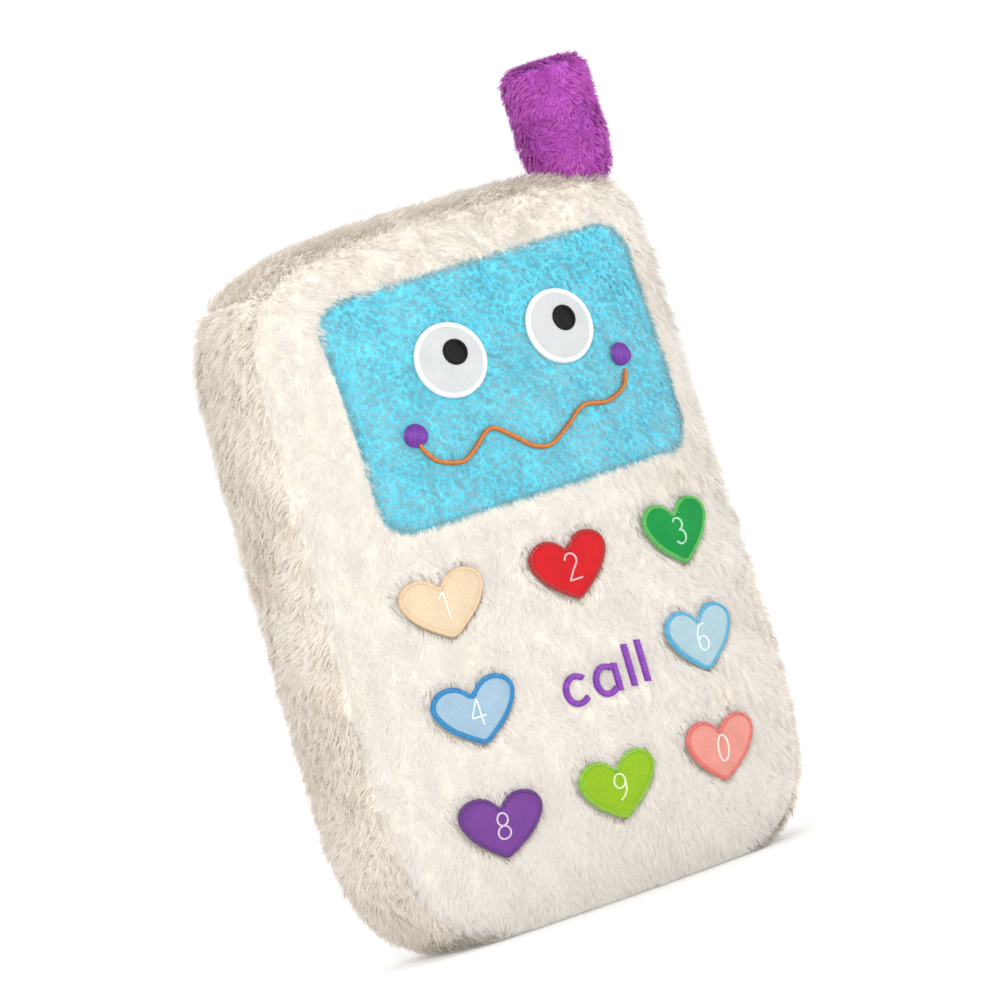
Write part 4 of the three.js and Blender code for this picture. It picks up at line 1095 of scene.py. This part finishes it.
# ------------------------------------------------------------------ carried-over nodes
def hardware():
    case = hard_mat("case_plastic", (0.15, 0.16, 0.18), (0.20, 0.21, 0.23), (0.42, 0.58))
    door = hard_mat("door_plastic", (0.20, 0.21, 0.23), (0.25, 0.26, 0.28), (0.38, 0.5))
    switch = hard_mat("switch_plastic", (0.12, 0.12, 0.14), (0.17, 0.17, 0.19), (0.4, 0.55))
    cap = hard_mat("cap_plastic", (0.84, 0.84, 0.82), (0.92, 0.92, 0.90), (0.35, 0.5))
    knob = hard_mat("knob_plastic", (0.80, 0.80, 0.79), (0.88, 0.88, 0.87), (0.22, 0.36), coat=0.2)
    film = hard_mat("circuit_film", (0.62, 0.36, 0.10), (0.80, 0.52, 0.20), (0.25, 0.4), coat=0.3)
    board = hard_mat("circuit_board", (0.05, 0.34, 0.15), (0.12, 0.46, 0.22), (0.28, 0.45), scale=300, bump=0.3)
    spk = hard_mat("speaker_metal", (0.06, 0.06, 0.07), (0.12, 0.12, 0.13), (0.5, 0.7))
    cell = hard_mat("cell_metal", (0.70, 0.71, 0.72), (0.82, 0.83, 0.84), (0.22, 0.34), metal=1.0, bump=0.05)
    latch = hard_mat("latch_metal", (0.62, 0.63, 0.65), (0.76, 0.77, 0.79), (0.28, 0.4), metal=1.0, bump=0.08)
    by = {"module_case": case, "module_lid": case, "sound_board": board, "speaker": spk, "battery_1": cell, "battery_2": cell, "battery_3": cell,
          "battery_door": door, "door_latch": latch, "power_switch": knob, "key_membrane": film}
    for k, *_ in KEYS:
        by[f"key_{k}_cap"] = cap
        by[f"key_{k}_switch"] = switch
    for name, mat in by.items():
        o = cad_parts[name]
        for s in o.material_slots:
            s.material = mat


# ------------------------------------------------------------------ stage, light, camera
def stage():
    m, nt, b = new_mat("floor_white")
    tc = nt.nodes.new("ShaderNodeTexCoord")
    nz = nt.nodes.new("ShaderNodeTexNoise")
    nz.inputs["Scale"].default_value = 3
    r = ramp(nt, [(0.3, lin((0.90, 0.90, 0.90))), (0.7, lin((0.92, 0.92, 0.92)))])
    nt.links.new(tc.outputs["Object"], nz.inputs["Vector"])
    nt.links.new(nz.outputs[0], r.inputs[0])
    nt.links.new(r.outputs[0], b.inputs["Base Color"])
    b.inputs["Roughness"].default_value = 0.9
    b.inputs["Specular IOR Level"].default_value = 0.1
    b.inputs["Emission Color"].default_value = (1, 1, 1, 1)
    b.inputs["Emission Strength"].default_value = 0.16
    n = 96
    t = np.linspace(0, 2 * np.pi, n, endpoint=False)
    prof = [(20, 0), (600, 0), (3000, 0), (5600, 0)] + [(5600 + 3000 * math.sin(a), 3000 - 3000 * math.cos(a)) for a in np.linspace(0.1, math.pi / 2, 16)] + [(8600, 6000)]
    rows = [np.stack([rad * np.cos(t), rad * np.sin(t), np.full(n, h)], 1) for rad, h in prof]
    V = np.concatenate(rows + [[[0, 0, 0]]])
    j = np.arange(n)
    quads = grid_quads(len(rows), n)
    tris = np.stack([np.full(n, len(V) - 1), j, (j + 1) % n], 1)
    o = mesh_from("floor", V, quads[:, ::-1], tris, mat=m)


def area(name, loc, target, size, power, colour=(1, 1, 1)):
    d = bpy.data.lights.new(name, "AREA")
    d.shape = "DISK"
    d.size = size
    d.energy = power
    d.color = colour
    o = bpy.data.objects.new(name, d)
    bpy.context.scene.collection.objects.link(o)
    o.location = loc
    o.rotation_euler = (Vector(target) - Vector(loc)).to_track_quat("-Z", "Y").to_euler()
    return o


def light():
    w = bpy.data.worlds.new("studio")
    bpy.context.scene.world = w
    w.use_nodes = True
    bg = w.node_tree.nodes["Background"]
    bg.inputs[0].default_value = (1, 1, 1, 1)
    bg.inputs[1].default_value = 1.1
    area("key", (-1.35, -2.7, 1.25), (0, 0, 0.2), 1.5, 43, (1.0, 0.985, 0.96))
    area("fill", (2.2, -2.2, 0.8), (0, 0, 0.2), 1.8, 15, (0.98, 0.985, 1.0))
    area("side", (-3.0, -0.4, 0.9), (0, 0, 0.2), 2.0, 3.5, (1.0, 0.99, 0.98))
    area("back", (-0.6, 2.8, 1.1), (0, 0, 0.2), 2.0, 21, (1.0, 0.99, 0.98))


def camera():
    az, el, roll, dist, px = math.radians(-26.9), math.radians(1.43), math.radians(17.06), 3.5, 0.4955
    fwd = Vector((-math.sin(az) * math.cos(el), math.cos(az) * math.cos(el), -math.sin(el)))
    r0 = Vector((math.cos(az), math.sin(az), 0))
    up0 = r0.cross(fwd)
    target = r0 * (11.16 * MM) + up0 * (203.7 * MM)
    right = r0 * math.cos(roll) - up0 * math.sin(roll)
    up = r0 * math.sin(roll) + up0 * math.cos(roll)
    cam = bpy.data.cameras.new("camera")
    cam.sensor_width = 36
    cam.lens = 36 * dist / (px * MM * 1000)
    cam.clip_end = 30
    o = bpy.data.objects.new("camera", cam)
    bpy.context.scene.collection.objects.link(o)
    m = Matrix((right, up, -fwd)).transposed().to_4x4()
    m.translation = target - fwd * dist
    o.matrix_world = m
    bpy.context.scene.camera = o


# ------------------------------------------------------------------ build
camera()
cloth = body_cloth()
body_fur(160000, 66000, 64000)
screen(44000)
antenna(9000)
back_pieces(7600)
face()
hearts()
label()
hardware()
stage()
light()
sc = bpy.context.scene
sc.view_settings.view_transform = "Standard"
sc.view_settings.look = "None"
